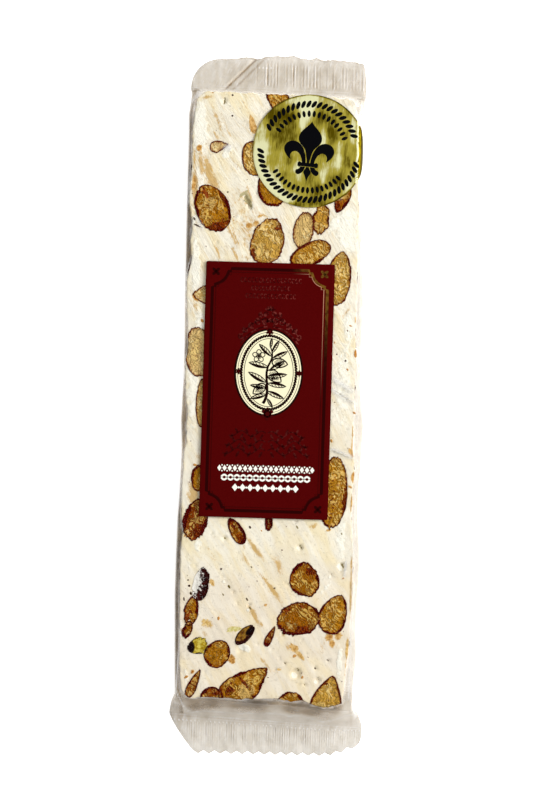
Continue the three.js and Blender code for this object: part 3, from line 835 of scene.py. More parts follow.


# %% [markdown]
# ## Nougat
# Soft nougat is whipped honey and egg white: ivory, with paler and yellower bands that the blade has
# drawn out. The bands are the streaks group at three sizes. Near broken nuts it is stained tan; those
# stains are smooth spots kept on the mesh as a number, which the streaks then break up.

# %% Stains
# Tan stains, then chalky crust, whose first nine rows are painted highlights beside small holes: x, y,
# length, width, turn, strength
STAINS = [
    (-22, 76.4, 12, 2.6, 104, 0.9), (-20.4, 72.6, 6, 3, 100, 1), (-26.4, 71.4, 10, 1.8, 92, 1.2),
    (-24.6, 79, 9, 1.4, 96, 0.9), (-9, 58, 28, 12, 104, 0.36), (-26.9, 81, 8, 0.9, 92, 0.7),
    (-11, 69, 6, 0.8, 60, 0.7), (-8.6, 70, 7, 0.7, 112, 0.7), (-15, 58, 14, 0.9, 116, 0.8),
    (-13, 56, 9, 0.6, 112, 0.7), (-18.6, 50.5, 7, 1.2, 112, 0.7), (-12.4, 49, 7, 1, 115, 0.8),
    (-3.6, 62.6, 5, 0.9, 150, 0.7), (-6.9, 59.5, 5, 1, 160, 0.6), (-19.6, 94, 11, 1.3, 110, 0.6),
    (-16.2, 91, 9, 0.8, 114, 0.5), (-23.4, 101.2, 5, 1.2, 8, 0.8), (-20, 88.6, 5, 1, 118, 0.6),
    (-9.6, 97, 12, 1, 116, 0.3), (-13.4, 80, 12, 1.2, 116, 0.25), (-24.5, -30, 10, 3.6, 95, 0.9),
    (-26.6, -41, 6, 1.6, 92, 0.9), (-22.5, -19.5, 7, 2.4, 100, 0.6), (-9, -44.2, 3, 2.2, 110, 0.4),
    (-3.7, -47.7, 9, 1.7, 128, 0.8), (-6.6, -51.6, 6, 1.4, 126, 0.5), (4, -52.5, 6, 2.2, 110, 0.7),
    (0.4, -58.6, 9, 0.6, 130, 1), (2.8, -61.6, 9, 1.5, 126, 0.9), (-3.4, -69.6, 8, 1.7, 118, 0.9),
    (-1, -72.6, 3, 1, 118, 0.7), (-7.8, -46, 7, 0.8, 112, 0.4), (-19, -72.6, 4.6, 2.6, 160, 0.7),
    (-19.6, -76, 5, 1, 118, 0.4), (-17.4, -51, 9, 2, 122, 0.25), (0.5, -85.5, 9, 1.4, 130, 0.5),
    (7.6, -79.6, 3, 1.4, 130, 0.5), (6.4, -75.4, 2, 1.4, 60, 0.5), (27.2, 60, 12, 0.8, 90, 0.3),
    (28.3, -60, 20, 0.8, 90, 0.8), (27.5, -14, 10, 0.9, 90, 0.7), (25.8, -26, 12, 1, 90, 0.7),
    (27.3, -84, 12, 0.8, 88, 0.6), (-20, -64, 3, 3, 84, 0.3), (18.6, 71.6, 4, 2, 60, 0.3),
    (-25.8, 12, 5, 1, 92, 0.5), (-25.4, 32, 5, 1.6, 100, 0.6), (24.6, 31.4, 5, 1.4, 60, 0.5),
    (15.4, -39.6, 3, 1.6, 30, 0.7), (19.4, -79.4, 9, 2.2, 60, 0.3),
]
CRUST_AND_HIGHLIGHTS = [
    (24.3, -53, 2.6, 1.6, -62, 1.3), (10.5, -47, 2, 0.9, -60, 1.3), (10.3, -89.2, 2.2, 1.8, -60, 1.3),
    (17.3, -91, 1.4, 1.2, -60, 1.2), (-5.6, -67.8, 1.4, 1, -50, 1.2), (-6.4, -80.4, 4.4, 2.2, -20, 1.2),
    (-13.9, -58.6, 1.4, 0.8, -50, 1), (21.2, -56.2, 1.2, 0.8, -60, 1.2), (11.9, -56, 2, 1, -60, 0.9),
    (-25, 90, 24, 5, 92, 1), (-25, 74, 9, 3.2, 92, 1), (-25.6, 45, 22, 3.2, 92, 1),
    (-16.2, 83.5, 6, 2.6, 60, 1), (24.4, 58, 18, 8, 92, 1), (20, 60.4, 8, 4, 60, 0.9),
    (25.4, 86, 30, 3.6, 90, 1), (24, 96, 8, 6, 90, 0.9), (24, 8, 40, 7, 90, 0.65),
    (-25.6, 8, 36, 5, 90, 0.75), (25.5, 26, 16, 4, 90, 0.8), (-24, 26, 12, 5, 90, 0.7),
    (-25.4, -2, 16, 4, 90, 0.7), (24.6, -44, 22, 4, 90, 0.7), (-22.6, -47, 8, 5, 90, 0.6),
    (-25.4, -90, 12, 3, 90, 0.45), (-26.6, 60.5, 5, 2, 60, 1), (12, 44.4, 4, 4, 60, 0.7),
    (20, -60, 9, 4, 60, 0.5), (3.6, -77.6, 8, 4, 60, 0.5), (-25.2, -52.6, 7, 3, 90, 0.5),
    (25, -84, 16, 3, 90, 0.7),
]

# %% Slab mesh with room for the nuts
def sunk_under(points, places, edges):
    """How far the nougat is lowered under the sections, in mm."""
    room = 0.8  # how far a section's room reaches past it, and how deep it is
    tree = KDTree(len(places))
    for i, place in enumerate(places):
        tree.insert(place, i)
    tree.balance()
    depth = np.zeros(len(points))
    for i, point in enumerate(points.tolist()):
        _, nearest, away = tree.find(point)
        if away < room:
            depth[i] = edges[nearest]
    return room * ease((depth - 0.2) / 0.8)


rings = slab_rings()
ring_count, ring_size = rings.shape[:2]
plain_points = rings.reshape(-1, 3)
nut_places = sum((places for _, _, _, places in nut_meshes.values()), [])
nut_edges = sum((numbers["edge_mm"] for _, _, numbers, _ in nut_meshes.values()), [])
lift = slab_relief(plain_points) - sunk_under(plain_points, nut_places, nut_edges)
slab_points = plain_points + outward(plain_points) * lift[:, None]
slab_numbers = {"stain": spots_at(slab_points, STAINS), "crust_and_highlight": spots_at(slab_points, CRUST_AND_HIGHLIGHTS)}
nougat_slab = make_piece("nougat_slab", slab_points, loop_faces(ring_count, ring_size), slab_numbers)


# %% Nougat material
def nougat_material():
    material, tree, shader = new_material("whipped_nougat", 0.5, Specular_IOR_Level=0.2)
    place = millimetres(tree)
    flow = warped(place, 0.04, 7)
    bands = streaks(flow, DRAG, 30, 5.2, 2, 3)
    strokes = streaks(flow, DRAG, 9, 0.85, 5)
    hair = streaks(flow, DRAG, 5, 0.32, 9)
    cloud = mottle(flow, 0.07, 2)
    height_on_bar = split(place)["Y"]
    marked = remap(height_on_bar, -50, 35, 0.24, 0.9)
    colour = blend(remap(bands, 0.4, 0.62), rgb(246, 239, 220), rgb(243, 229, 192))
    colour = blend(remap(cloud, 0.47, 0.62, 0, 0.6), colour, rgb(234, 225, 205))
    for value, low, high, most, tint in (
        (strokes, 0.54, 0.68, 0.5, rgb(226, 200, 146)), (strokes, 0.44, 0.33, 0.8, rgb(255, 250, 230)),
        (hair, 0.55, 0.68, 0.35, rgb(206, 184, 136)), (hair, 0.44, 0.34, 0.28, rgb(255, 252, 236)),
    ):
        share = times(marked, remap(value, low, high, 0, most))
        colour = blend(share, colour, tint)
    # The lower end is a little rosier
    colour = blend(remap(height_on_bar, -48, -64, 0, 0.2), colour, rgb(230, 204, 178))
    # White crust and painted highlights beside small holes, from the listed spots broken by noise
    crust = maths("ADD", number(tree, "crust_and_highlight"), mottle(place, 0.6, 4))
    crust = remap(crust, 0.85, 1.15, 0, 0.9)
    colour = blend(crust, colour, rgb(253, 249, 233))
    broken = times(hair, 0.9, number(tree, "stain"))
    broken = maths("ADD", broken, mottle(place, 0.9, 3))
    colour = blend(remap(broken, 1.1, 1.6, 0, 0.8), colour, rgb(202, 158, 72))
    paint(shader, colour)
    pores = remap(mottle(place, 1.9, 2), 0.3, 0.42)
    height = times(hair, 0.7, strokes)
    height = times(height, marked, times(pores, 0.4))
    height = times(times(crust, mottle(place, 0.9, 4)), 1.2, height)
    bump(shader, height, 0.3, 0.8)
    return material


dress(nougat_slab, nougat_material(), "nougat_in_film", "wrapped_bar")

# %% [markdown]
# ## Almonds and pistachios
# A section has three parts that the eye reads at once: the brown skin, a line under half a millimetre
# wide that frays; golden flesh, rough where the blade tore it; and darker, oily patches. The skin is the
# ragged line of the distance from the edge. Flesh colours follow the tone that each section carries.


# %% Almond material
def almond_material():
    material, tree, shader = new_material("almond_section", 0.5, Specular_IOR_Level=0.03)
    place = millimetres(tree)
    edge, tone = number(tree, "edge_mm"), number(tree, "tone")
    grain = mottle(place, 0.8, 3, 0.6)
    flesh = ramp(
        tone, (0.0, rgb(236, 208, 146)), (0.25, rgb(208, 162, 66)), (0.4, rgb(186, 126, 20)),
        (0.56, rgb(164, 102, 8)), (0.8, rgb(136, 58, 0)), (1.0, rgb(96, 20, 0)),
    )
    deep = blend(remap(tone, 0, 0.4, 0.3, 0.66), flesh, rgb(96, 40, 0))
    lit_flesh = blend(remap(tone, 0.1, 0.5), rgb(252, 234, 176), rgb(240, 206, 110))
    pale = blend(0.62, flesh, lit_flesh)
    # Some patches are torn and the rest smooth. Torn flesh curls: its ridges are contours of a noise
    torn = remap(mottle(warped(place, 0.5, 1.6), 0.2, 1), 0.55, 0.49)
    wander = streaks(warped(place, 0.16, 9), DRAG, 7, 1.9, 3, 1.5)
    curls = maths("SINE", times(wander, 30))
    colour = blend(remap(grain, 0.49, 0.38, 0, 0.75), flesh, deep)
    colour = blend(remap(grain, 0.56, 0.66, 0, 0.4), colour, pale)
    # Painted shade in the furrows between the curls, and painted highlights on their ridges and in small
    # flecks
    furrow_shade = times(remap(torn, 0, 1, 0.2, 0.75), remap(curls, -0.5, -0.9))
    colour = blend(furrow_shade, colour, deep)
    colour = blend(times(torn, remap(curls, 0.2, 0.95, 0, 0.85)), colour, pale)
    flesh_glints = remap(mottle(place, 1.3, 3), 0.57, 0.64, 0, 0.8)
    colour = blend(times(torn, flesh_glints), colour, lit_flesh)
    scar = times(maths("SUBTRACT", grain, 0.5), 2.6, number(tree, "scar"))
    smooth = blend(0.6, flesh, rgb(232, 200, 122))
    colour = blend(remap(scar, 0.2, 0.34, 0, 0.7), colour, rgb(118, 60, 0))
    colour = blend(remap(scar, 0.34, 0.46, 0, 0.95), colour, smooth)
    bruise = times(maths("SUBTRACT", grain, 0.5), 2.2, number(tree, "bruise"))
    burnt = blend(remap(curls, -0.3, 0.8), rgb(84, 8, 0), rgb(132, 50, 0))
    colour = blend(remap(bruise, 0.35, 0.5, 0, 0.95), colour, burnt)
    near_skin = ragged_line(place, edge, 0.8, 0.5, 1.3)
    colour = blend(times(near_skin, 0.55), colour, rgb(140, 62, 0))
    # The skin is thick in some stretches, and thin on pale sections
    thick = remap(mottle(place, 0.2, 1), 0.48, 0.6, 0.3, 1.5)
    skin_width = times(tone, thick, 0.3)
    skin = blend(remap(tone, 0.1, 0.5), rgb(96, 30, 6), rgb(78, 3, 0))
    colour = blend(ragged_line(place, edge, skin_width, 0.35, 0.2), colour, skin)
    paint(shader, colour)
    bump(shader, times(curls, 0.4, grain), 0.6, 0.9)
    return material


dress_nuts("almond_sections", almond_material(), "wrapped_bar")


# %% Pistachio material
def pistachio_material():
    material, tree, shader = new_material("pistachio_section", 0.45, Specular_IOR_Level=0.04)
    place = millimetres(tree)
    edge, tone = number(tree, "edge_mm"), number(tree, "tone")
    coarse = remap(mottle(place, 0.7, 4, 0.65), 0.4, 0.6)
    light = ramp(tone, (0.15, rgb(216, 198, 88)), (0.8, rgb(150, 108, 34)), (1, rgb(62, 12, 8)))
    dark = ramp(tone, (0.15, rgb(168, 136, 14)), (0.8, rgb(84, 44, 6)), (1, rgb(26, 2, 2)))
    colour = blend(coarse, light, dark)
    colour = blend(remap(number(tree, "bruise"), 0.3, 0.5), colour, rgb(20, 3, 4))
    skin_width = times(tone, remap(mottle(place, 0.3, 1), 0.45, 0.58, 0.4, 1.8))
    skin = ragged_line(place, edge, skin_width, 0.4, 0.25)
    colour = blend(skin, colour, rgb(44, 6, 2))
    frost = maths("SUBTRACT", mottle(place, 1.1, 4, 0.7), 0.5)
    frost = times(frost, 2.4, number(tree, "scar"))
    colour = blend(remap(frost, 0.42, 0.6), colour, rgb(232, 228, 218))
    paint(shader, colour)
    bump(shader, mottle(place, 1.8, 4), 0.4, 0.8)
    return material


dress_nuts("pistachio_sections", pistachio_material(), "wrapped_bar")


# %% Chips and pits
def chip_material():
    material, tree, shader = new_material("nut_chip", 0.5, Specular_IOR_Level=0.1)
    place = millimetres(tree)
    tone, patch = number(tree, "tone"), mottle(place, 1.1, 4)
    light = ramp(tone, (0, rgb(222, 212, 150)), (0.25, rgb(234, 206, 146)), (1, rgb(206, 142, 44)))
    deep = ramp(tone, (0, rgb(196, 182, 104)), (0.25, rgb(208, 168, 92)), (1, rgb(152, 84, 8)))
    colour = blend(remap(patch, 0.42, 0.58), light, deep)
    thin = ragged_line(place, number(tree, "edge_mm"), 0.22, 0.2, 0.3)
    colour = blend(times(thin, 0.6), colour, rgb(236, 214, 164))
    paint(shader, colour)
    bump(shader, patch, 0.3, 0.7)
    return material


def pit_shade_and_crumb_material():
    material, tree, shader = new_material("pit_shade_and_crumb", 0.8, Specular_IOR_Level=0.0)
    tone = number(tree, "tone")
    # Pale grey-olive to dark red-brown: painted shade in holes, dents and beside creases, and the colour of
    # dark crumbs
    colour = ramp(tone, (0, rgb(188, 176, 134)), (0.3, rgb(118, 102, 56)), (1, rgb(50, 12, 4)))
    paint(shader, colour)
    return material


dress_nuts("nut_chips", chip_material())
dress_nuts("pit_shades_and_crumbs", pit_shade_and_crumb_material())

# %% [markdown]
# ## The film
# A flow-wrapper folds one web of clear film round the bar, seals it lengthwise underneath, then crimps
# and cuts it at both ends. So the film has three kinds of place: the sleeve, which lies on the slab and
# turns down over round shoulders; the tents, where it closes towards the seal; and the fins, two films
# pressed together by ribbed jaws and cut by a zigzag knife.
#
# The sleeve's section is a superellipse at each shoulder. A table of it by arc length lets anything
# stuck on the film, such as a seal, be laid on the flat and carried over the shoulder.

# %% Film section
FILM_SHOULDER = 1.2  # how far the round shoulder reaches in from the side
PRESSED_SHOULDER = 2.6  # the same where the seal has pressed the film down
FILM_SQUARENESS = 3.4  # exponent of the shoulder's superellipse
FILM_MIDDLE = FILM_TOP / 2
POWER = 2 / FILM_SQUARENESS
# The film's long sides: y and x
FILM_LEFT = np.array([
    (-97, -29.3), (-88, -29.55), (-78, -29.8), (-65, -30.1), (-52, -30), (-40, -29.8), (-33, -29.4),
    (-23, -29.05), (-17, -28.95), (-7, -29.4), (0, -29.2), (6, -28.9), (19, -28.85), (33, -29.1),
    (59, -29.2), (89, -29.1), (95, -29.2), (99, -28.7), (103, -28.4),
])
FILM_RIGHT = np.array([
    (-97, 29.8), (-88, 30.2), (-81, 30.9), (-71, 30.4), (-65, 30.6), (-58, 30.8), (-52, 31.2),
    (-45, 31), (-35, 30.1), (-25, 30.2), (-19, 30.7), (-12, 30.9), (-5, 31.2), (4, 30.4), (14, 29.9),
    (21, 29.9), (27, 30.3), (37, 30.5), (47, 30.2), (57, 29.8), (67, 29.1), (74, 29.1), (90, 29),
    (103, 28.9),
])


def film_side(side, y):
    """How far the film reaches at y, on the left (-1) or right (1)."""
    return side * at_station(FILM_LEFT if side < 0 else FILM_RIGHT, y)


def film_shoulder(side, y):
    """Width of the shoulder at y."""
    pressed = ease((y - 66) / 7) * ease((103 - y) / 7) if side > 0 else 0
    return mix(FILM_SHOULDER, PRESSED_SHOULDER, pressed)


turn_down = np.linspace(math.pi / 2, 0, 400)
SHOULDER_OUT = PRESSED_SHOULDER * np.clip(np.cos(turn_down), 0, 1) ** POWER
SHOULDER_DOWN = FILM_MIDDLE * (1 - np.sin(turn_down) ** POWER)
SHOULDER_ARC = np.concatenate(((0,), np.cumsum(np.hypot(np.diff(SHOULDER_OUT), np.diff(SHOULDER_DOWN)))))


def on_film(flat, lift):
    """Places in mm, lift above the film, for flat places. Past a pressed shoulder they follow it down."""
    flat = np.asarray(flat, float)
    x, y = flat[:, 0], flat[:, 1]
    side = np.sign(x)
    start = np.where(side < 0, film_side(-1, y), film_side(1, y)) - PRESSED_SHOULDER
    beyond = np.maximum(np.abs(x) - start, 0)
    out = np.interp(beyond, SHOULDER_ARC, SHOULDER_OUT)
    down = np.interp(beyond, SHOULDER_ARC, SHOULDER_DOWN)
    next_out = np.interp(beyond + 0.1, SHOULDER_ARC, SHOULDER_OUT)
    tilt = np.where(beyond > 0, np.arccos(np.clip((next_out - out) / 0.1, 0, 1)), 0)
    reach = np.minimum(np.abs(x), start) + out + lift * np.sin(tilt)
    return np.column_stack((side * reach, y, FILM_TOP - down + lift * np.cos(tilt)))


print("shoulder, mm along the film:", round(SHOULDER_ARC[-1], 2))

# %% [markdown]
# The fins' outlines are given by where each fin starts and ends and by its corners. One function gives
# any place of a fin, so that the sleeve's tents can run exactly into its root.

# %% Fins
FIN_THICKNESS = 0.5
TOOTH_DEPTH = 1.1
FIN_TEETH = 15  # the knife cuts a peak and a hollow for each tooth
RIB_PITCH = 0.78
RIB_HEIGHT = 0.12
ROOT_HEIGHT, TIP_HEIGHT = 6.6, 4.6  # the fins lie about half way up, and sag outwards
# The upper (1) and the lower (-1) fin: length of the tent before it, y of its end, x of both ends of its
# root, and x of both corners of its tip
FINS = {1: (2.3, 115.9, -29, 29.7, -19.5, 28.7), -1: (7, -116.6, -31.2, 33.4, -23.2, 32.4)}
SLAB_CUT = {1: 102.5, -1: -98.6}
SLAB_SKEW = {1: TOP_SKEW, -1: BOTTOM_SKEW}
# The upper edge was torn rather than cut: shares of its width, and how far it stands out there, in mm
TORN_EDGE = np.array([
    (0, 0), (0.08, 0.1), (0.14, 0.3), (0.2, 0.9), (0.27, 0.3), (0.34, 1.2), (0.41, 1.6), (0.45, 1.3),
    (0.51, 1.8), (0.55, 1.1), (0.62, 0.6), (0.67, 1.2), (0.73, 0.3), (0.78, 0.7), (0.85, 0.5),
    (0.93, 0.2), (1, -0.4),
])


def fin_edge(direction, share):
    """How far the edge stands out at a share of the fin's width: torn above, zigzag below."""
    if direction > 0:
        small = 0.25 * bumps(np.column_stack((share * 60, 0 * share, 0 * share)), 0.8, 5)
        return at_station(TORN_EDGE, share) + small
    column = share * 2 * FIN_TEETH
    whole = np.floor(column)
    odd = np.where(whole % 2 == 1, whole, whole + 1)
    return TOOTH_DEPTH * (1 - np.abs(column - odd)) - 3.2 * ease((share - 0.72) / 0.3) ** 2


def fin_place(direction, share, along):
    """x, y and middle height of a fin at shares of its width (left to right) and length (root to tip)."""
    tent, end, left_root, right_root, left_corner, right_corner = FINS[direction]
    narrowed = 1 - np.sqrt(np.clip(1 - along**2, 0, 1)) if direction > 0 else along**1.25
    x = mix(mix(left_root, left_corner, narrowed), mix(right_root, right_corner, along**4), share)
    root = SLAB_CUT[direction] + direction * tent + SLAB_SKEW[direction] * x
    y = mix(root, end + direction * fin_edge(direction, share), along)
    return x, y, mix(ROOT_HEIGHT, TIP_HEIGHT, along)


# %% [markdown]
# Film shows by its creases. They are listed as strokes, with a width and a height, and raise the film. The
# same strokes are kept as a number that paints a white highlight along each crease.

# %% Creases
# x and y of both ends, width, height
CREASES = [
    (28.5, 74, 28.6, 98, 0.35, 0.1), (28.9, 30, 28.2, 70, 0.3, 0.1), (29, -12, 28.4, 26, 0.25, 0.08),
    (28.6, -62, 29.2, -14, 0.3, 0.1), (28.3, -96, 28.9, -58, 0.35, 0.12),
    (20.8, 5.4, 27.4, 1.6, 0.8, 0.12), (21, -14, 27.4, -16.6, 0.8, 0.12), (21.2, 9, 27, 5.4, 0.8, 0.1),
    (-28.8, -96, -27.6, -72, 0.25, 0.1), (27.9, 99.5, 30.2, 90, 0.3, 0.12),
    (-16.6, 84.6, -15.2, 84.9, 0.9, 0.12), (19, 70.4, 21.5, 69.4, 0.7, 0.12),
    (26, -56, 26.4, -51, 0.4, 0.1), (-28.6, -95, -24.9, -105.6, 0.22, 0.15),
    (29.6, -98, 31.2, -104, 0.4, 0.15), (-25.5, 60.4, -23.6, 57.8, 0.5, 0.12),
]


def crease_at(points):
    """How strongly a white highlight is painted along the creases at each place, 0 to 1, and how far it is
    raised, in mm.
    """
    crease_glint, raised = np.zeros(len(points)), np.zeros(len(points))
    for x0, y0, x1, y1, width, height in CREASES:
        span = np.array((x1 - x0, y1 - y0))
        share = ((points[:, :2] - (x0, y0)) @ span) / (span @ span)
        near = np.array((x0, y0)) + np.clip(share, 0, 1)[:, None] * span
        away = np.linalg.norm(points[:, :2] - near, axis=1) / width
        stroke = bell(away, 1) * (points[:, 2] > FILM_MIDDLE)
        crease_glint, raised = np.maximum(crease_glint, 0.7 * stroke), np.maximum(raised, height * stroke)
    return crease_glint, raised


# %% Sleeve mesh
FLAT_COUNT = 133  # points across the flat of each ring, its two ends counted


def sleeve_ring(y_end, softened=0.0):
    """Body ring at y_end: the share of the width of each column, its x, and its z above the middle. The
    shoulders are softened mm wider than on the slab."""
    quarter = np.linspace(0, math.pi / 2, 13)
    flat_columns = np.linspace(4, 26, FLAT_COUNT)[1:-1]
    columns = np.concatenate((np.linspace(0, 4, 13), flat_columns, np.linspace(26, 30, 13))) / 30
    left, right = film_side(-1, y_end), film_side(1, y_end)
    left_width, right_width = film_shoulder(-1, y_end) + softened, film_shoulder(1, y_end) + softened
    turned = 1 - np.clip(np.cos(quarter), 0, 1) ** POWER
    rise = FILM_MIDDLE * np.clip(np.sin(quarter), 0, 1) ** POWER
    flat = np.linspace(-left + left_width, right - right_width, FLAT_COUNT)[1:-1]
    x = np.concatenate((-left + left_width * turned, flat, (right - right_width * turned)[::-1]))
    z = np.concatenate((rise, np.full(FLAT_COUNT - 2, FILM_MIDDLE), rise[::-1]))
    return columns, x, z


def sleeve_mesh():
    """Rings of the sleeve from the root of the lower fin to the root of the upper one."""
    stations = [(-1, t) for t in np.linspace(1, 0, 17)[:-1]]
    stations += [(0, y) for y in np.linspace(SLAB_CUT[-1], SLAB_CUT[1], 260)]
    stations += [(1, t) for t in np.linspace(0, 1, 9)[1:]]
    rings = []
    for direction, t in stations:
        y_end = t if direction == 0 else SLAB_CUT[direction]
        columns, x, z = sleeve_ring(y_end, 5.0 * t if direction else 0.0)
        share = (y_end - SLAB_CUT[-1]) / (SLAB_CUT[1] - SLAB_CUT[-1])
        y = y_end + x * mix(SLAB_SKEW[-1], SLAB_SKEW[1], ease(share))
        upper, lower = np.column_stack((x, y, FILM_MIDDLE + z)), np.column_stack((x, y, FILM_MIDDLE - z))
        if direction:
            fin_x, fin_y, fin_z = fin_place(direction, columns, 0.0)
            fall = mix(t, 1 - (1 - t) ** 2, 0.6)
            onward = mix(t, t * t, 0.3)
            for side, face in ((1, upper), (-1, lower)):
                face[:, 0] = mix(face[:, 0], fin_x, fall)
                face[:, 1] = mix(face[:, 1], fin_y, onward)
                face[:, 2] = mix(face[:, 2], fin_z + side * FIN_THICKNESS / 2, fall)
        rings.append(np.concatenate((upper, lower[1:-1][::-1])))
    return np.array(rings)


sleeve = sleeve_mesh()
sleeve_rings, sleeve_size = sleeve.shape[:2]
sleeve_points = sleeve.reshape(-1, 3)
sleeve_x, sleeve_y, sleeve_z = sleeve_points.T.copy()
sleeve_highlight, crease_height = crease_at(sleeve_points)
print("sleeve points:", len(sleeve_points))

# %% [markdown]
# The film is hazy where it turns down past the slab, and clear again on its upright walls. The gap
# beside the slab looks dark through it, so each point also carries a shade. Both follow from how far a
# point lies beyond the slab's sides and ends.

# %% Haze and shade of the sleeve
beyond_left = np.array([slab_side(-1, y) for y in sleeve_y]) - sleeve_x
beyond_right = sleeve_x - np.array([slab_side(1, y) for y in sleeve_y])
beyond_top = sleeve_y - np.array([slab_end(1, x) for x in sleeve_x])
beyond_bottom = np.array([slab_end(-1, x) for x in sleeve_x]) - sleeve_y
near_face = ease((np.abs(sleeve_z - FILM_MIDDLE) / FILM_MIDDLE - 0.25) / 0.2)
past_sides = np.maximum(0.85 * ease(beyond_left / 0.35), 0.65 * ease(beyond_right / 0.8))
past_ends = 0.8 * ease(np.maximum(beyond_top / 2.4, beyond_bottom / 0.4))
haze = np.maximum(past_sides * near_face, past_ends)
# How dark the gap between slab and film is on the left, along y
LEFT_DUSK = np.array([
    (-100, 0.5), (-92, 0.75), (-66, 0.95), (-50, 1), (-37, 0.85), (-30, 0.7), (-22, 0.4), (-14, 0.45),
    (-8, 0.75), (-3, 0.7), (1, 0.5), (8, 0.45), (14, 0.6), (19, 0.75), (24, 0.35), (34, 0.3), (40, 0.6),
    (46, 0.9), (60, 1), (68, 0.9), (76, 0.8), (82, 0.65), (94, 0.8), (99, 0.4),
])
dusk_left = 1.3 * at_station(LEFT_DUSK, sleeve_y) * ease(beyond_left / 0.2 + 0.3)
dusk_left *= 1 - 0.3 * np.clip(beyond_left, 0, 2)
# Painted shadow in the lower tent: darkest just past the slab's lower end, uneven across, and gone about 8.5
# mm on
broad = bumps(sleeve_points * (1, 0, 0), 0.11, 33)
blotchy = bumps(sleeve_points * (0.3, 1, 0), 0.5, 34)
shadow_under_end = np.clip(0.8 + 0.8 * broad + 0.5 * blotchy, 0.4, 1)
shadow_under_end *= ease(beyond_bottom / 0.3 + 0.4) * (1 - ease(beyond_bottom / 8.5)) ** 0.8
shadow_under_end *= ease((sleeve_x + 28.5) / 3) * ease((28.5 - sleeve_x) / 5)
shadow_under_end = np.maximum(shadow_under_end, 0.16 * ease(beyond_bottom / 0.5))
# Painted grey shade in two lines along the film's right edge, and faintly over the whole right strip
film_inset = film_side(1, sleeve_y) - sleeve_x
edge_shade = 0.34 * bell(film_inset - 0.3, 0.4) + 0.2 * bell(film_inset - 1.5, 0.25)
edge_shade = (edge_shade * (0.7 + bumps(sleeve_points, 0.08, 36)) + 0.07) * ease(beyond_right / 0.3)
shade = np.maximum.reduce([dusk_left, shadow_under_end, edge_shade])

# %% Creases, waves and folds of the sleeve
# Painted highlights: white lines across the lower tent about 6 mm past the cut, and a lighter band just past
# the upper cut
tent_lines = bell(beyond_bottom - 6, 0.25) * (0.5 + bumps(sleeve_points, 0.2, 35))
sleeve_highlight = np.maximum(sleeve_highlight, np.clip(0.6 * tent_lines, 0, 1))
sleeve_highlight = np.maximum(sleeve_highlight, 0.45 * ease(beyond_top / 0.6) * (1 - ease((beyond_top - 1.2) / 1.4)))
waves = 0.05 * bumps(sleeve_points, 0.09, 6) + 0.03 * bumps(sleeve_points, 0.35, 7)
folds = 0.35 * bumps(sleeve_points * (0.25, 1.6, 0), 0.35, 9) * ease(beyond_bottom / 2)
raised = np.where(sleeve_z > FILM_MIDDLE, waves + folds + crease_height, 0)
sleeve_points[:, 2] = np.clip(sleeve_z + raised, 0.02, None)
film_sleeve = make_piece(
    "film_sleeve", sleeve_points, loop_faces(sleeve_rings, sleeve_size),
    {"haze": haze, "shade": shade, "painted_highlight": sleeve_highlight},
)

# %% [markdown]
# The fins need many more columns than the sleeve: each rib takes five. The upper and lower faces are
# two grids that meet at the edges. Left of the fold in the upper fin the ribs are pressed flat.

# %% Fin mesh
FOLD_FROM, FOLD_TO = np.array((-17.5, 105.5)), np.array((-7.0, 116.5))


def right_of_fold(x, y):
    """Distance to the right of the folded corner's crease, in mm, negative to its left."""
    run = (FOLD_TO - FOLD_FROM) / np.linalg.norm(FOLD_TO - FOLD_FROM)
    return (x - FOLD_FROM[0]) * run[1] - (y - FOLD_FROM[1]) * run[0]


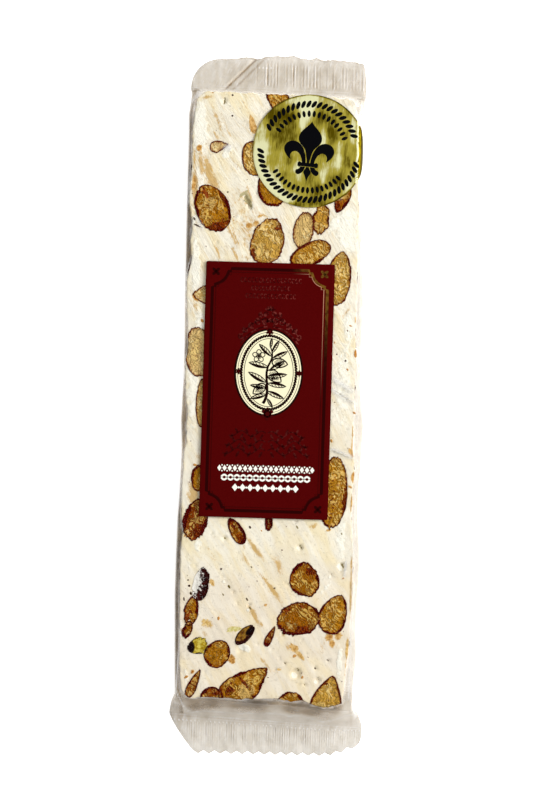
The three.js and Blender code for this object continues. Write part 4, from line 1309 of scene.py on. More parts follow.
def fin_mesh(direction):
    columns, rows = 2 * FIN_TEETH * 14 + 1, 44
    share, along = np.meshgrid(np.linspace(0, 1, columns), np.linspace(0, 1, rows))
    share, along = share.ravel(), along.ravel()
    x, y, z = fin_place(direction, share, along)
    flat = np.column_stack((x, y, z))
    if direction > 0:
        fold = right_of_fold(x, y)
        ribbed = ease((along - 0.12) / 0.12) * ease((0.9 - along) / 0.2) * ease((x + 9) / 4)
        ribbed *= 1 - 0.5 * ease((x - 14) / 8)
        dots = bell(y - 113.2, 0.25) * ease((np.abs(x + 4.5) - 3.2) / -0.4)
        pitch, greyer = 1.1, 0.12 + 0.05 * ease((x - 4) / 14)
    else:
        fold = x + 28.0
        ribbed = ease((along - 0.18) / 0.05) * (1 - 0.75 * ease((along - 0.45) / 0.4)) * ease(fold / 4)
        ribbed *= 1 - 0.5 * ease((x - 18) / 8)
        dots = bell(along - 0.165, 0.02) * ease(np.abs(bumps(flat * (1, 0, 0), 0.16, 21)) * 8 - 0.2)
        pitch, greyer = RIB_PITCH, 0.2 * ease(1 - along / 0.35)
    dots *= ease(np.sin(x / 1.35 * 2 * math.pi + 2 * bumps(flat * (1, 0, 0), 0.3, 22)) * 2 - 0.8)
    ribbed *= np.clip(0.5 + 1.5 * bumps(flat * (0.9, 0.08, 0), 1, 3 + direction), 0, 1.1)
    rib = np.sin(x / pitch * 2 * math.pi + 1.2 * bumps(flat * (1, 0.1, 0), 0.3, 8))
    streak = bumps(flat * (0.7, 0.12, 0), 1, 17 + direction) + 0.6 * bumps(flat * (0.5, 0.5, 0), 1, 19)
    scratch = bumps(flat @ np.array(((2.4, 0.5, 0), (-0.9, 0.3, 0), (0, 0, 0))), 1, 25)
    sag = (0.35 * bumps(flat, 0.07, 12 + direction) + 0.1 * bumps(flat, 0.3, 14)) * ease(along / 0.3)
    lift = 0.45 * ease(-fold / 1.2) * ease((y - 104.5) / 3) if direction > 0 else 0 * x
    edge = ease(np.minimum(share, 1 - share) * 60)
    half = FIN_THICKNESS / 2 * edge * ease((1 - along) * 22 + 0.25)
    raised = RIB_HEIGHT * rib * ribbed + sag * edge
    top = flat + np.column_stack((0 * x, 0 * x, raised + half + lift + 0.2 * dots))
    bottom = flat + np.column_stack((0 * x, 0 * x, raised - half))
    faces = grid_faces(rows, columns)
    under = [tuple(reversed(face)) for face in grid_faces(rows, columns, len(flat))]
    rim = [row * columns for row in range(rows)]
    rim += [(rows - 1) * columns + i for i in range(1, columns)]
    rim += [row * columns + columns - 1 for row in range(rows - 2, -1, -1)]
    rim += list(range(columns - 2, 0, -1))
    pairs = [(a, b) for a, b in zip(rim, rim[1:] + rim[:1]) if max(a, b) >= columns]
    walls = [(a, b, b + len(flat), a + len(flat)) for a, b in pairs]
    border = ease(1 - np.minimum(np.minimum(share, 1 - share) * 60, (1 - along) * 11) / 0.5)
    if direction > 0:
        crossed = bell(fold, 0.4) + 0.7 * bell(fold - 1.9, 0.4)
    else:
        crossed = 0.4 * ease(1 - fold / 5)
    # Painted shade: dark lines along the upper fin's folded crease, a darker left end on the lower fin, a
    # darker border, an overall grey that grows to the right of the upper fin and near the root of the lower,
    # darker streaks, and shade in the troughs between ribs
    shade_number = 0.35 * crossed + 0.12 * border + greyer + 0.3 * ribbed * np.clip(-rib, 0, 1)
    shade_number = np.clip(shade_number + 0.1 * np.clip(-streak, 0, 1), 0, 1)
    root_lines = bell(along - 0.02, 0.02) + 0.8 * bell(along - 0.1, 0.014)
    # Painted highlights: bright dots at the rib ends, which are also raised a little, the rib crests and
    # lines along the root, with lighter streaks and scratches
    white = 0.95 * dots + 0.5 * ribbed * np.clip(rib, 0, 1) ** 2 + 0.3 * np.clip(streak, 0, 1)
    white += 0.7 * np.clip(scratch - 0.2, 0, 1) + 0.4 * root_lines * (0.6 + bumps(flat, 0.2, 23))
    white = np.clip(white, 0, 1)
    numbers = {
        "haze": np.full(2 * len(flat), 0.85),
        "shade": np.concatenate((shade_number, shade_number)),
        "painted_highlight": np.concatenate((white, 0 * white)),
    }
    return np.concatenate((top, bottom)), faces + under + walls, numbers


upper_fin = make_piece("upper_fin", *fin_mesh(1))
lower_fin = make_piece("lower_fin", *fin_mesh(-1))

# %% [markdown]
# Underneath, the web's two edges are sealed lengthwise into a flat strip that is folded to one side.

# %% Back seam
SEAM_WIDTH, SEAM_X = 10.0, -1.0  # the seam stands a little off the middle line
SEAM_LEVELS = (0.03, 0.2)


def seam_mesh():
    """Two thin sheets along the underside, with fine ribs across them painted as white highlights, kept as
    numbers.
    """
    rows, columns = 900, 12
    y = np.repeat(np.linspace(SLAB_CUT[-1], SLAB_CUT[1], rows), columns)
    across = np.tile(np.linspace(-0.5, 0.5, columns), rows)
    x = SEAM_X + across * SEAM_WIDTH + 0.3 * bumps(np.column_stack((0 * y, y, 0 * y)), 0.06, 31)
    faces = grid_faces(rows, columns, rows * columns)
    faces += [tuple(reversed(face)) for face in grid_faces(rows, columns)]
    points = np.concatenate([np.column_stack((x, y, np.full(len(x), level))) for level in SEAM_LEVELS])
    ribs = 0.35 + 0.3 * np.sin(y / RIB_PITCH * 2 * math.pi / 2)
    white = np.clip(ribs, 0, 1) * ease((0.5 - np.abs(across)) / 0.08)
    greyed = 0.5 * ease((np.abs(across) - 0.4) / 0.08)
    numbers = {"haze": np.full(2 * len(x), 0.7), "shade": np.tile(greyed, 2), "painted_highlight": np.tile(white, 2)}
    return points, faces, numbers


back_seam = make_piece("back_seam", *seam_mesh(), closed=False)

# %% [markdown]
# ## Film material
# Clear film hardly shows from the front and mirrors at a slant. So the clear part is a mirror that is almost
# wholly see-through, and more solid towards grazing angles. Where *haze* says so it turns into plain frosted
# film. The painted *shade* darkens it, and a painted white highlight, kept as a number on the mesh, whitens
# it and makes it more solid.


# %% Film material
def film_material():
    material, tree, shader = new_material("clear_film", 0.1)
    place = millimetres(tree)
    haze, shade, painted_highlight = number(tree, "haze"), number(tree, "shade"), number(tree, "painted_highlight")
    slant = add(tree, "ShaderNodeLayerWeight", Blend=0.35).outputs["Facing"]
    clear = times(maths("POWER", slant, 3), 0.5, 0.003)
    cloud = mottle(place, 0.22, 4)
    frosted = remap(cloud, 0.3, 0.7, 0.6, 0.8)
    frosted = times(frosted, times(shade, 0.4, 0.85))
    alpha = add(tree, "ShaderNodeMix", {"data_type": "FLOAT"}, i0=haze, i2=clear, i3=frosted).outputs[0]
    alpha = maths("MAXIMUM", alpha, times(painted_highlight, 0.75))
    tree.links.new(alpha, shader.inputs["Alpha"])
    frost = ramp(shade, (0, rgb(214, 205, 188)), (0.5, rgb(130, 100, 40)), (1, rgb(74, 52, 0)))
    colour = blend(maths("MULTIPLY", haze, 6.0, clamp=True), (1, 1, 1, 1), frost)
    colour = blend(painted_highlight, colour, (1, 1, 1, 1))
    paint(shader, colour)
    mirror = maths("SUBTRACT", 1.0, maths("MAXIMUM", haze, painted_highlight), clamp=True)
    tree.links.new(mirror, shader.inputs["Metallic"])
    tree.links.new(remap(haze, 0, 1, 0.07, 0.35), shader.inputs["Roughness"])
    bump(shader, mottle(place, 0.5, 3), 0.12, 0.5)
    return material


clear_film = film_material()
for film_piece in (film_sleeve, upper_fin, lower_fin, back_seam):
    dress(film_piece, clear_film, "nougat_in_film", "wrapped_bar")

# %% [markdown]
# ## Printed shapes
# Print is built as low solids: filled outlines and strips along a line. Each is drawn on the flat, in
# millimetres, and then laid on a surface by a function, so the same strokes serve a card and a seal
# that bends over a shoulder.


# %% Strokes
def arc(centre_x, centre_y, radius_x, radius_y, start, end, count=24):
    """Points of an ellipse's arc between two angles in degrees."""
    angles = np.radians(np.linspace(start, end, count))
    return np.column_stack((centre_x + radius_x * np.cos(angles), centre_y + radius_y * np.sin(angles)))


def curve_through(*corners, count=14):
    """A smooth path made of cubic pieces: an end, two handles, an end, two handles, an end and so on."""
    corners = np.array(corners, float)
    steps = np.linspace(0, 1, count)[:, None]
    path = [corners[:1]]
    for i in range(0, len(corners) - 1, 3):
        a, b, c, d = corners[i : i + 4]
        piece = a * (1 - steps) ** 3 + 3 * b * (1 - steps) ** 2 * steps
        piece = piece + 3 * c * (1 - steps) * steps**2 + d * steps**3
        path.append(piece[1:])
    return np.concatenate(path)


def spiral(x, y, radius, start, turns, shrink=0.25, count=30):
    """A scroll that winds in from radius to shrink times radius."""
    share = np.linspace(0, 1, count)
    angles = math.radians(start) + share * turns * 2 * math.pi
    reach = radius * (1 - share * (1 - shrink))
    return np.column_stack((x + reach * np.cos(angles), y + reach * np.sin(angles)))


def moved(path, x=0.0, y=0.0, turn=0.0, scale=1.0, mirror=False):
    path = np.array(path, float) * scale
    if mirror:
        path = path[::-1] * (-1, 1)
    return path @ spin_by(turn) + (x, y)


class Print:
    """Collects low solids drawn on the flat. lay(flat, lift) gives their places on a surface."""

    def __init__(self, lay, low, high):
        self.lay, self.low, self.high = lay, low, high
        self.points, self.faces = [], []

    def solid(self, flat, tops, rims):
        """A solid with the given top faces, closed by walls along the rims."""
        first, count = len(self.points), len(flat)
        self.points.extend(self.lay(flat, self.high).tolist())
        self.points.extend(self.lay(flat, self.low).tolist())
        for face in tops:
            self.faces.append(tuple(first + i for i in face))
            self.faces.append(tuple(first + count + i for i in reversed(face)))
        for rim in rims:
            for a, b in zip(rim, rim[1:] + rim[:1]):
                self.faces.append((first + b, first + a, first + count + a, first + count + b))

    def fill(self, outline):
        """A filled outline, given counter-clockwise or not."""
        outline = np.asarray(outline, float)
        x, y = outline[:, 0], outline[:, 1]
        if np.sum(x * np.roll(y, -1) - y * np.roll(x, -1)) < 0:
            outline = outline[::-1]
        tops = tessellate_polygon([[Vector((px, py, 0)) for px, py in outline.tolist()]])
        tops = [face if self.turns_left(outline, face) else face[::-1] for face in tops]
        self.solid(outline, tops, [list(range(len(outline)))])

    @staticmethod
    def turns_left(outline, face):
        a, b, c = outline[list(face)]
        return (b[0] - a[0]) * (c[1] - a[1]) - (b[1] - a[1]) * (c[0] - a[0]) > 0

    def line(self, path, width, closed=False):
        """A strip along a path. width is one number, or one for each point."""
        path = np.asarray(path, float)
        if closed:
            ahead, behind = np.roll(path, -1, axis=0), np.roll(path, 1, axis=0)
        else:
            ahead, behind = np.concatenate((path[1:], path[-1:])), np.concatenate((path[:1], path[:-1]))
        run = ahead - behind
        run /= np.maximum(np.linalg.norm(run, axis=1, keepdims=True), 1e-9)
        half = np.column_stack((-run[:, 1], run[:, 0])) * (np.broadcast_to(width, len(path)) / 2)[:, None]
        count = len(path)
        flat = np.concatenate((path + half, path - half))
        last = count if closed else count - 1
        tops = [(i, count + i, count + (i + 1) % count, (i + 1) % count) for i in range(last)]
        if closed:
            rims = [list(range(count)), list(range(2 * count - 1, count - 1, -1))]
        else:
            rims = [list(range(count)) + list(range(2 * count - 1, count - 1, -1))]
        rims = [rim[::-1] for rim in rims]
        self.solid(flat, tops, rims)

    def build(self, name):
        piece = make_piece(name, self.points, self.faces, closed=False)
        piece.data.polygons.foreach_set("use_smooth", [False] * len(piece.data.polygons))
        return piece


# %% [markdown]
# ## The card
# The card is pressed board with a satin varnish. It has no cover sheet, so its edge shows the board. The
# frame line is stamped foil: straight sides, a small step, and a hollow quarter circle in each corner.

# %% Card
CARD_WIDTH, CARD_HEIGHT = 42.5, 84.3
CARD_CENTRE = (-1.1, 4.8)
CARD_TURN = -0.3
CARD_LOW, CARD_TOP = FILM_TOP + 0.03, FILM_TOP + 0.5
CARD_CORNER = 0.6
print("card thickness, mm:", CARD_TOP - CARD_LOW)


def on_card(flat, lift):
    """Places in mm for flat places given from the card's middle, lift above its face."""
    placed = moved(flat, *CARD_CENTRE, turn=CARD_TURN)
    return np.column_stack((placed, np.full(len(placed), CARD_TOP + lift)))


def rounded_rectangle(half_width, half_height, radius):
    corners = []
    for sign_x, sign_y, start in ((1, 1, 0), (-1, 1, 90), (-1, -1, 180), (1, -1, 270)):
        centre = (sign_x * (half_width - radius), sign_y * (half_height - radius))
        corners.append(arc(*centre, radius, radius, start, start + 90, 7))
    return np.concatenate(corners)


def card_mesh():
    """A card with a soft upper edge: rings of its outline, from its underside up and in."""
    rings = [(0.0, CARD_LOW - CARD_TOP), (0.0, -0.1), (0.03, -0.03), (0.1, 0.0), (1.2, 0.0)]
    points = []
    for inset, lift in rings:
        outline = rounded_rectangle(CARD_WIDTH / 2 - inset, CARD_HEIGHT / 2 - inset, CARD_CORNER)
        points.extend(on_card(outline, lift).tolist())
    size = len(points) // len(rings)
    faces = loop_faces(len(rings), size)
    faces.append(tuple(range(size))[::-1])
    faces.append(tuple(range((len(rings) - 1) * size, len(points))))
    return points, faces


card = make_piece("label", *card_mesh())


# %% Card material
def card_material():
    material, tree, shader = new_material("maroon_card", 0.42, Specular_IOR_Level=0.015)
    place = millimetres(tree)
    grain = mottle(place, 3.2, 3, 0.7)
    colour = blend(remap(grain, 0.3, 0.7), rgb(74, 1, 2), rgb(82, 4, 4))
    paint(shader, colour)
    bump(shader, grain, 0.05, 0.6)
    return material


dress(card, card_material(), "label_card", "label_card")

# %% Frame line and ornaments
FRAME_INSET, FRAME_WIDTH = 2.3, 1.0
FRAME_STEP, FRAME_HOLLOW = 0.9, 5.3


def frame_path(inset):
    """The frame line, inset mm from the card's edge, counter-clockwise from the upper right corner."""
    half_x, half_y = CARD_WIDTH / 2 - inset, CARD_HEIGHT / 2 - inset
    hollow = FRAME_HOLLOW + FRAME_INSET - inset
    tilt = math.degrees(math.asin(FRAME_STEP / hollow))
    corner = arc(0, 0, hollow, hollow, 270 - tilt, 180 + tilt, 12)
    reach = -hollow * math.cos(math.radians(tilt)) - FRAME_STEP
    steps = ((0, reach), (-FRAME_STEP, reach)), ((reach, -FRAME_STEP), (reach, 0))
    corner = np.concatenate((steps[0], corner, steps[1]))
    path = [corner + (half_x, half_y)]
    path.append(corner[::-1] * (-1, 1) + (-half_x, half_y))
    path.append(-corner + (-half_x, -half_y))
    path.append(corner[::-1] * (1, -1) + (half_x, -half_y))
    return np.concatenate(path)


foil = Print(on_card, 0.0, 0.035)
foil.line(frame_path(FRAME_INSET), FRAME_WIDTH, closed=True)
hairline = Print(on_card, 0.0, 0.05)
hairline.line(frame_path(FRAME_INSET + 1.15), 0.22, closed=True)
for flower_x in (-17.9, 17.9):
    for flower_y in (-38.8, 38.8):
        for petal in range(4):
            foil.fill(moved(arc(0.85, 0, 0.75, 0.5, 0, 342, 12), flower_x, flower_y, petal * 90 + 45))
        foil.fill(arc(flower_x, flower_y, 0.4, 0.4, 0, 330, 10))

# %% [markdown]
# Above and below the oval there is blind pressing: scrolls and small rows that only show where light
# catches them. Scrolls are spirals whose strokes grow thin as they wind in. Everything on the right is
# also drawn mirrored on the left.

# %% Blind pressing
PRESS_X = 0.4  # the card's print stands a little right of its middle


def both_sides(ink, path, width, y, **kinds):
    """Draws a line and its mirror image about the print's middle."""
    ink.line(moved(path, PRESS_X, y, **kinds), width)
    ink.line(moved(path, PRESS_X, y, mirror=True, **kinds), np.flip(width) if np.ndim(width) else width)


blind = Print(on_card, 0.0, 0.05)
thinning = np.linspace(0.62, 0.2, 30)
for scroll_x, scroll_y, radius, start, turns in (
    (1.5, 22.9, 1.2, 250, 1.4), (3.9, 22.5, 1.15, 120, -1.4), (6.1, 21.4, 1.05, 230, 1.3),
    (8, 19.8, 0.95, 60, -1.3), (9.6, 17.8, 0.9, 200, 1.3), (1.2, 25.2, 0.85, 280, 1.3),
    (3, 24.8, 0.8, 100, -1.3),
):
    both_sides(blind, spiral(scroll_x, scroll_y, radius, start, turns), thinning, 0)
for bud in range(5):
    blind.fill(moved(arc(1.0, 0, 0.85, 0.34, 0, 345, 14), PRESS_X, 26.2, 90 + (bud - 2) * 34))
    blind.fill(moved(arc(0.9, 0, 0.7, 0.3, 0, 345, 14), PRESS_X, 22.4, 90 + (bud - 2) * 34))
both_sides(blind, arc(0, 5.9, 12.0, 15.2, 86, 38, 24), 0.5, 0)
both_sides(blind, arc(0, 5.9, 12.7, 17.9, 82, 44, 24), 0.3, 0)
vine = [(x, 0.9 * math.sin(x * 0.95)) for x in np.linspace(0.4, 12.5, 60)]
for vine_y, vine_scale in ((-14.4, 1.0), (-17.4, 1.1), (-20.2, 1.15)):
    both_sides(blind, np.array(vine) * vine_scale, 0.34, vine_y)
    for i in range(7):
        leaf_x = (1.2 + 1.65 * i) * vine_scale
        turn = 62 if i % 2 else -62
        for side in (1, -1):
            leaf = moved(arc(1.0, 0, 0.95, 0.36, 0, 345, 12), scale=vine_scale, turn=turn)
            leaf = (leaf + (leaf_x, 0)) * (side, 1)
            blind.fill(leaf + (PRESS_X, vine_y))
for row_y, row_half in ((36.3, 9.6), (33.7, 6.0), (31.1, 7.8)):
    for x in np.arange(-row_half, row_half + 0.1, 1.2):
        blind.line(moved(arc(0, 0, 0.42, 0.72, 40, 320, 12), PRESS_X + x, row_y), 0.24)

# %% Foil materials
def stamping(name, across, upward, power, patches, dark, light):
    """Pressed or stamped lines with a painted highlight: across and upward say from which x and y it grows,
    and power how steeply that grows upward. Patches are the cells, detail and range of a mottle."""
    material, tree, shader = new_material(name, 0.4, Specular_IOR_Level=0.02)
    place = millimetres(tree)
    on_bar = split(place)
    lit = times(remap(on_bar["X"], *across), maths("POWER", remap(on_bar["Y"], *upward), power))
    if patches:
        cells, detail, *limits = patches
        lit = times(lit, remap(mottle(place, cells, detail), *limits))
    paint(shader, blend(lit, dark, light))
    return material, shader, place


# Painted highlights: the gold of the frame line towards the upper right, the pink of the inner line there,
# and reddish patches on the blind pressing
frame_foil_material, frame_shader, frame_place = stamping(
    "frame_stamping", (6, 14), (2, 44), 2.2, (0.8, 3, 0.36, 0.6, 0.35, 1), rgb(42, 1, 1), rgb(118, 82, 28)
)
bump(frame_shader, mottle(frame_place, 2.4), 0.05, 0.5)
blind_highlight_material, _, _ = stamping(
    "blind_stamping", (-14, 14, 0.35), (-20, 30, 0.3), 1, (1, 4, 0.46, 0.58), rgb(54, 1, 2), rgb(126, 54, 48)
)
hairline_foil, _, _ = stamping("inner_line", (6, 16), (0, 38), 1, None, rgb(60, 2, 2), rgb(186, 130, 104))
dress(foil.build("frame_foil"), frame_foil_material, "label_card")
dress(hairline.build("frame_hairline"), hairline_foil, "label_card")
dress(blind.build("blind_pressing"), blind_highlight_material, "label_card")

# %% [markdown]
# ## The oval
# The oval is a cream plate with black line work. A rope ring frames a sprig of almond: leaves that are
# dark on one half, nuts with engraved strokes and a blossom. Each leaf is the same outline, moved and
# turned; only its place, turn and size change.

# %% Oval plates and rings
OVAL_Y = 5.9
OVAL_X, OVAL_HALF_WIDTH, OVAL_HALF_HEIGHT = 0.4, 11.35, 14.45


def oval(grow, count=96):
    """The oval's outline, grown or shrunk by so many mm."""
    return arc(OVAL_X, OVAL_Y, OVAL_HALF_WIDTH + grow, OVAL_HALF_HEIGHT + grow, 0, 360 - 360 / count, count)


cream = Print(on_card, 0.0, 0.06)
cream.fill(oval(-0.2))
ink = Print(on_card, 0.03, 0.085)
ink.line(oval(-0.3), 0.62, closed=True)
ink.line(oval(-1.15), 0.16, closed=True)
ink.line(oval(-3.25), 0.2, closed=True)

# %% Sprig
LEAF = curve_through((0, 0), (0.28, 0.16), (0.66, 0.16), (1, 0), (0.66, -0.16), (0.28, -0.16), (0, 0))
HALF_LEAF = curve_through((0, 0), (0.28, 0.16), (0.66, 0.16), (1, 0), (0.66, -0.02), (0.28, 0.02), (0, 0))
ALMOND = curve_through((0, 0), (0.12, 0.42), (0.72, 0.36), (1, 0), (0.72, -0.36), (0.12, -0.42), (0, 0))


def engrave_leaf(x, y, turn, length):
    """A leaf with one dark half, an outline and slanting veins."""
    place = {"x": OVAL_X + x, "y": OVAL_Y + y, "turn": turn, "scale": length}
    ink.fill(moved(HALF_LEAF[:-1], **place))
    ink.line(moved(LEAF, **place), 0.3)
    for share in (0.22, 0.4, 0.58, 0.74):
        vein = ((share, -0.01), (share + 0.12, -0.1))
        ink.line(moved(vein, **place), 0.2)


def engrave_almond(x, y, turn, length):
    place = {"x": OVAL_X + x, "y": OVAL_Y + y, "turn": turn, "scale": length}
    ink.line(moved(ALMOND, **place), 0.42)
    for i in range(8):
        rise = -0.26 + 0.075 * i
        stroke = ((0.12 + abs(rise) * 0.9, rise), (0.5, rise * 1.08), (0.86 - abs(rise) * 1.1, rise * 0.8))
        ink.line(moved(stroke, **place), (0.16, 0.42 if i < 4 else 0.22, 0.14))


stem = curve_through((-1.6, -10.2), (1.4, -6), (-2.2, -1), (0.2, 3), (1.4, 5.2), (1.2, 6.8), (0.2, 8.8))
ink.line(moved(stem, OVAL_X, OVAL_Y), np.linspace(0.95, 0.35, len(stem)))
for leaf_x, leaf_y, leaf_turn, leaf_length in (
    (-0.6, -7.2, 196, 5.4), (-0.4, -6.2, -22, 6), (-0.7, -3.2, 152, 6.8), (-0.5, -1.4, 8, 6.6),
    (-0.2, 1.8, 168, 6.6), (0.9, 4.4, 28, 5.8), (0.9, 5.4, 138, 5.8), (0.4, 8.2, 84, 3.2),
    (-0.2, -8.6, -58, 3.4), (1, 6.6, 62, 4.6), (-0.8, -5, 172, 5.2), (0.2, 0.6, 34, 6), (-0.3, -3.6, -8, 6.2),
):
    engrave_leaf(leaf_x, leaf_y, leaf_turn, leaf_length)
engrave_almond(-0.4, 0.6, -38, 5.8)
engrave_almond(-1.0, -4.0, -142, 5.0)
engrave_almond(1.0, 3.6, -8, 5.2)
blossom = (OVAL_X - 3.4, OVAL_Y + 5.4)
for petal in range(5):
    ink.line(moved(arc(1.15, 0, 0.95, 0.75, -150, 150, 18), *blossom, petal * 72 + 18), 0.28)
    ink.line(moved(((0.3, 0), (1.1, 0)), *blossom, petal * 72 + 18), 0.2)
ink.fill(arc(*blossom, 0.45, 0.45, 0, 330, 10))

# %% Rules under the oval
rules = Print(on_card, 0.0, 0.06)


def lozenge_row(y, half_count, pitch, half_width, half_height):
    for i in range(-half_count, half_count + 1):
        rules.fill(arc(PRESS_X + i * pitch, y, half_width, half_height, 0, 270, 4))


def braid(y, half_length, wavelength, reach, width):
    """Two strands that cross."""
    x = np.linspace(-half_length, half_length, 240)
    for strand in (1, -1):
        rise = strand * reach * np.sin(x * 2 * math.pi / wavelength)
        rules.line(np.column_stack((PRESS_X + x, y + rise)), width)


lozenge_row(-25.9, 9, 1.7, 0.72, 1.05)
for i in range(-9, 9):
    rules.fill(arc(PRESS_X + (i + 0.5) * 1.7, -24.95, 0.26, 0.26, 0, 324, 10))
    rules.fill(arc(PRESS_X + (i + 0.5) * 1.7, -26.85, 0.26, 0.26, 0, 324, 10))
braid(-28.95, 14.6, 4.2, 0.8, 0.62)
lozenge_row(-32.2, 4, 2.5, 1.0, 1.25)
for i in range(-4, 4):
    rules.fill(arc(PRESS_X + (i + 0.5) * 2.5, -32.2, 0.34, 0.34, 0, 324, 10))


# %% Print materials
def plain_print(name, first, second, roughness):
    """Ink with a faint unevenness."""
    material, tree, shader = new_material(name, roughness, Specular_IOR_Level=0.03)
    patch = mottle(millimetres(tree), 1.2, 3)
    tree.links.new(blend(patch, first, second), shader.inputs["Base Color"])
    return material


cream_print = plain_print("cream_print", rgb(255, 248, 212), rgb(250, 241, 200), 0.5)
black_print = plain_print("black_print", rgb(20, 3, 2), rgb(30, 6, 4), 0.5)
white_print = plain_print("white_print", rgb(255, 254, 242), rgb(252, 250, 236), 0.5)
dress(cream.build("oval_plate"), cream_print, "label_card")
dress(rules.build("rules"), white_print, "label_card")
dress(ink.build("engraving"), black_print, "label_card")

# %% Fleurons that break the ring
fleurons = Print(on_card, 0.03, 0.12)
for fleuron_x, fleuron_y, size in ((0, 13.6, 1.35), (-9.9, 0.2, 1.05), (10.1, 0.0, 1.05), (0, -13.6, 2.1)):
    centre = (OVAL_X + fleuron_x, OVAL_Y + fleuron_y)
    fleurons.fill(arc(*centre, size * 0.62, size * 0.62, 0, 340, 18))
    petal_outline = arc(size * 0.66, 0, size * 0.36, size * 0.3, 0, 340, 12)
    for petal in range(6):
        fleurons.fill(moved(petal_outline, *centre, petal * 60 + 30))
maroon_print = plain_print("fleuron_print", rgb(78, 6, 5), rgb(58, 3, 3), 0.5)
dress(fleurons.build("fleurons"), maroon_print, "label_card")

# %% [markdown]
# ## Beads and leaves along a path
# Ropes, bead rows and laurel rings are one thing: a small rounded body that repeats along a path. A
# Geometry Nodes tree does it. It measures the path, drops points at an even pitch, turns a squashed
# sphere along the path at each, tilts it, and makes real mesh of them all.

# %% Geometry Nodes: bodies along a path
def geometry_tree(name, inputs):
    """An empty tree with a Geometry input and output and the named number or material inputs."""
    tree = bpy.data.node_groups.new(name, "GeometryNodeTree")
    group_socket(tree, "Geometry", "INPUT", "NodeSocketGeometry")
    for key, kind, default in inputs:
        group_socket(tree, key, "INPUT", kind, default)
    group_socket(tree, "Geometry", "OUTPUT", "NodeSocketGeometry")
    return tree, tree.nodes.new("NodeGroupInput").outputs


def finish_tree(tree, instances, material):
    real = add(tree, "GeometryNodeRealizeInstances", Geometry=instances)
    smooth = add(tree, "GeometryNodeSetShadeSmooth", Geometry=real.outputs[0])
    painted = add(tree, "GeometryNodeSetMaterial", Geometry=smooth.outputs[0], Material=material)
    outputs = tree.nodes.new("NodeGroupOutput")
    tree.links.new(painted.outputs[0], outputs.inputs["Geometry"])
    return tree


def instances(tree, points, body, rotation, scale):
    """A body on each point, turned and scaled there."""
    values = {"Points": points, "Instance": body, "Rotation": rotation, "Scale": scale}
    return add(tree, "GeometryNodeInstanceOnPoints", **values).outputs[0]


def build_along_path():
    number_kind = "NodeSocketFloat"
    tree, inputs = geometry_tree("bodies_along_path", (
        ("Pitch", number_kind, 1.0), ("Long", number_kind, 1.0), ("Wide", number_kind, 1.0),
        ("High", number_kind, 0.3), ("Tilt", number_kind, 0.0), ("Material", "NodeSocketMaterial", None),
    ))
    curve = add(tree, "GeometryNodeMeshToCurve", Mesh=inputs["Geometry"])
    settings = {"mode": "LENGTH"}
    points = add(tree, "GeometryNodeCurveToPoints", settings, Curve=curve.outputs[0], Length=inputs["Pitch"])
    settings = {"axis": "X", "pivot_axis": "Z"}
    along = add(tree, "FunctionNodeAlignRotationToVector", settings, Vector=points.outputs["Tangent"])
    tilt = add(tree, "FunctionNodeAxisAngleToRotation", Angle=inputs["Tilt"])
    tilt.inputs["Axis"].default_value = (0, 0, 1)
    turned = add(tree, "FunctionNodeRotateRotation", i0=along.outputs[0], i1=tilt.outputs[0])
    size = add(tree, "ShaderNodeCombineXYZ", X=inputs["Long"], Y=inputs["Wide"], Z=inputs["High"])
    body = add(tree, "GeometryNodeMeshUVSphere", Segments=12, Rings=6, Radius=0.5)
    placed = instances(tree, points.outputs[0], body.outputs[0], turned.outputs[0], size.outputs[0])
    return finish_tree(tree, placed, inputs["Material"])


along_path = build_along_path()


def grow(name, base, tree, values):
    """Runs a tree on a base object and keeps the result as a plain mesh object; the base is removed."""
    modifier = base.modifiers.new("grow", "NODES")
    modifier.node_group = tree
    for item in tree.interface.items_tree:
        if item.item_type == "SOCKET" and item.in_out == "INPUT" and item.name in values:
            modifier[item.identifier] = values[item.name]
    evaluated = base.evaluated_get(bpy.context.evaluated_depsgraph_get())
    mesh = bpy.data.meshes.new_from_object(evaluated)
    mesh.name = name
    bpy.data.objects.remove(base)
    grown = bpy.data.objects.new(name, mesh)
    scene.collection.objects.link(grown)
    return grown


def path_object(places, closed=False):
    """An object of bare edges through places in mm."""
    count = len(places)
    edges = [(i, (i + 1) % count) for i in range(count if closed else count - 1)]
    mesh = bpy.data.meshes.new("path")
    mesh.from_pydata((np.asarray(places) * MM).tolist(), edges, [])
    path = bpy.data.objects.new("path", mesh)
    scene.collection.objects.link(path)
    return path


def row_of(name, places, material, pitch, long, wide, high, tilt=0.0, closed=False):
    """A row of small bodies along places in mm; every size is in mm and tilt in degrees."""
    values = {"Pitch": pitch * MM, "Long": long * MM, "Wide": wide * MM, "High": high * MM}
    values.update({"Tilt": math.radians(tilt), "Material": material})
    return grow(name, path_object(places, closed), along_path, values)


# %% Rope ring
rope_path = on_card(oval(-2.3, 160), 0.09)
rope = row_of("rope_ring", rope_path, black_print, 0.86, 1.35, 0.72, 0.16, tilt=42, closed=True)
dress(rope, None, "label_card")

# %% [markdown]
# ## The seal
# The seal is a disc of brushed brass-coloured foil. Part of it hangs over the bar's edge, so its rings
# of points are laid on the film by arc length and bend down with the shoulder. Brushed metal mirrors
# its surroundings in bands; the bands here are broad spots of light and dark, kept as a number on the
# mesh, that fine streaks then break up.

# %% Seal mesh
SEAL_CENTRE = (11.0, 84.1)
SEAL_RADIUS = 18.65
SEAL_LIFT = 0.22
FOLD_RIDGE = 15.8  # where the foil turns down, from the seal's middle
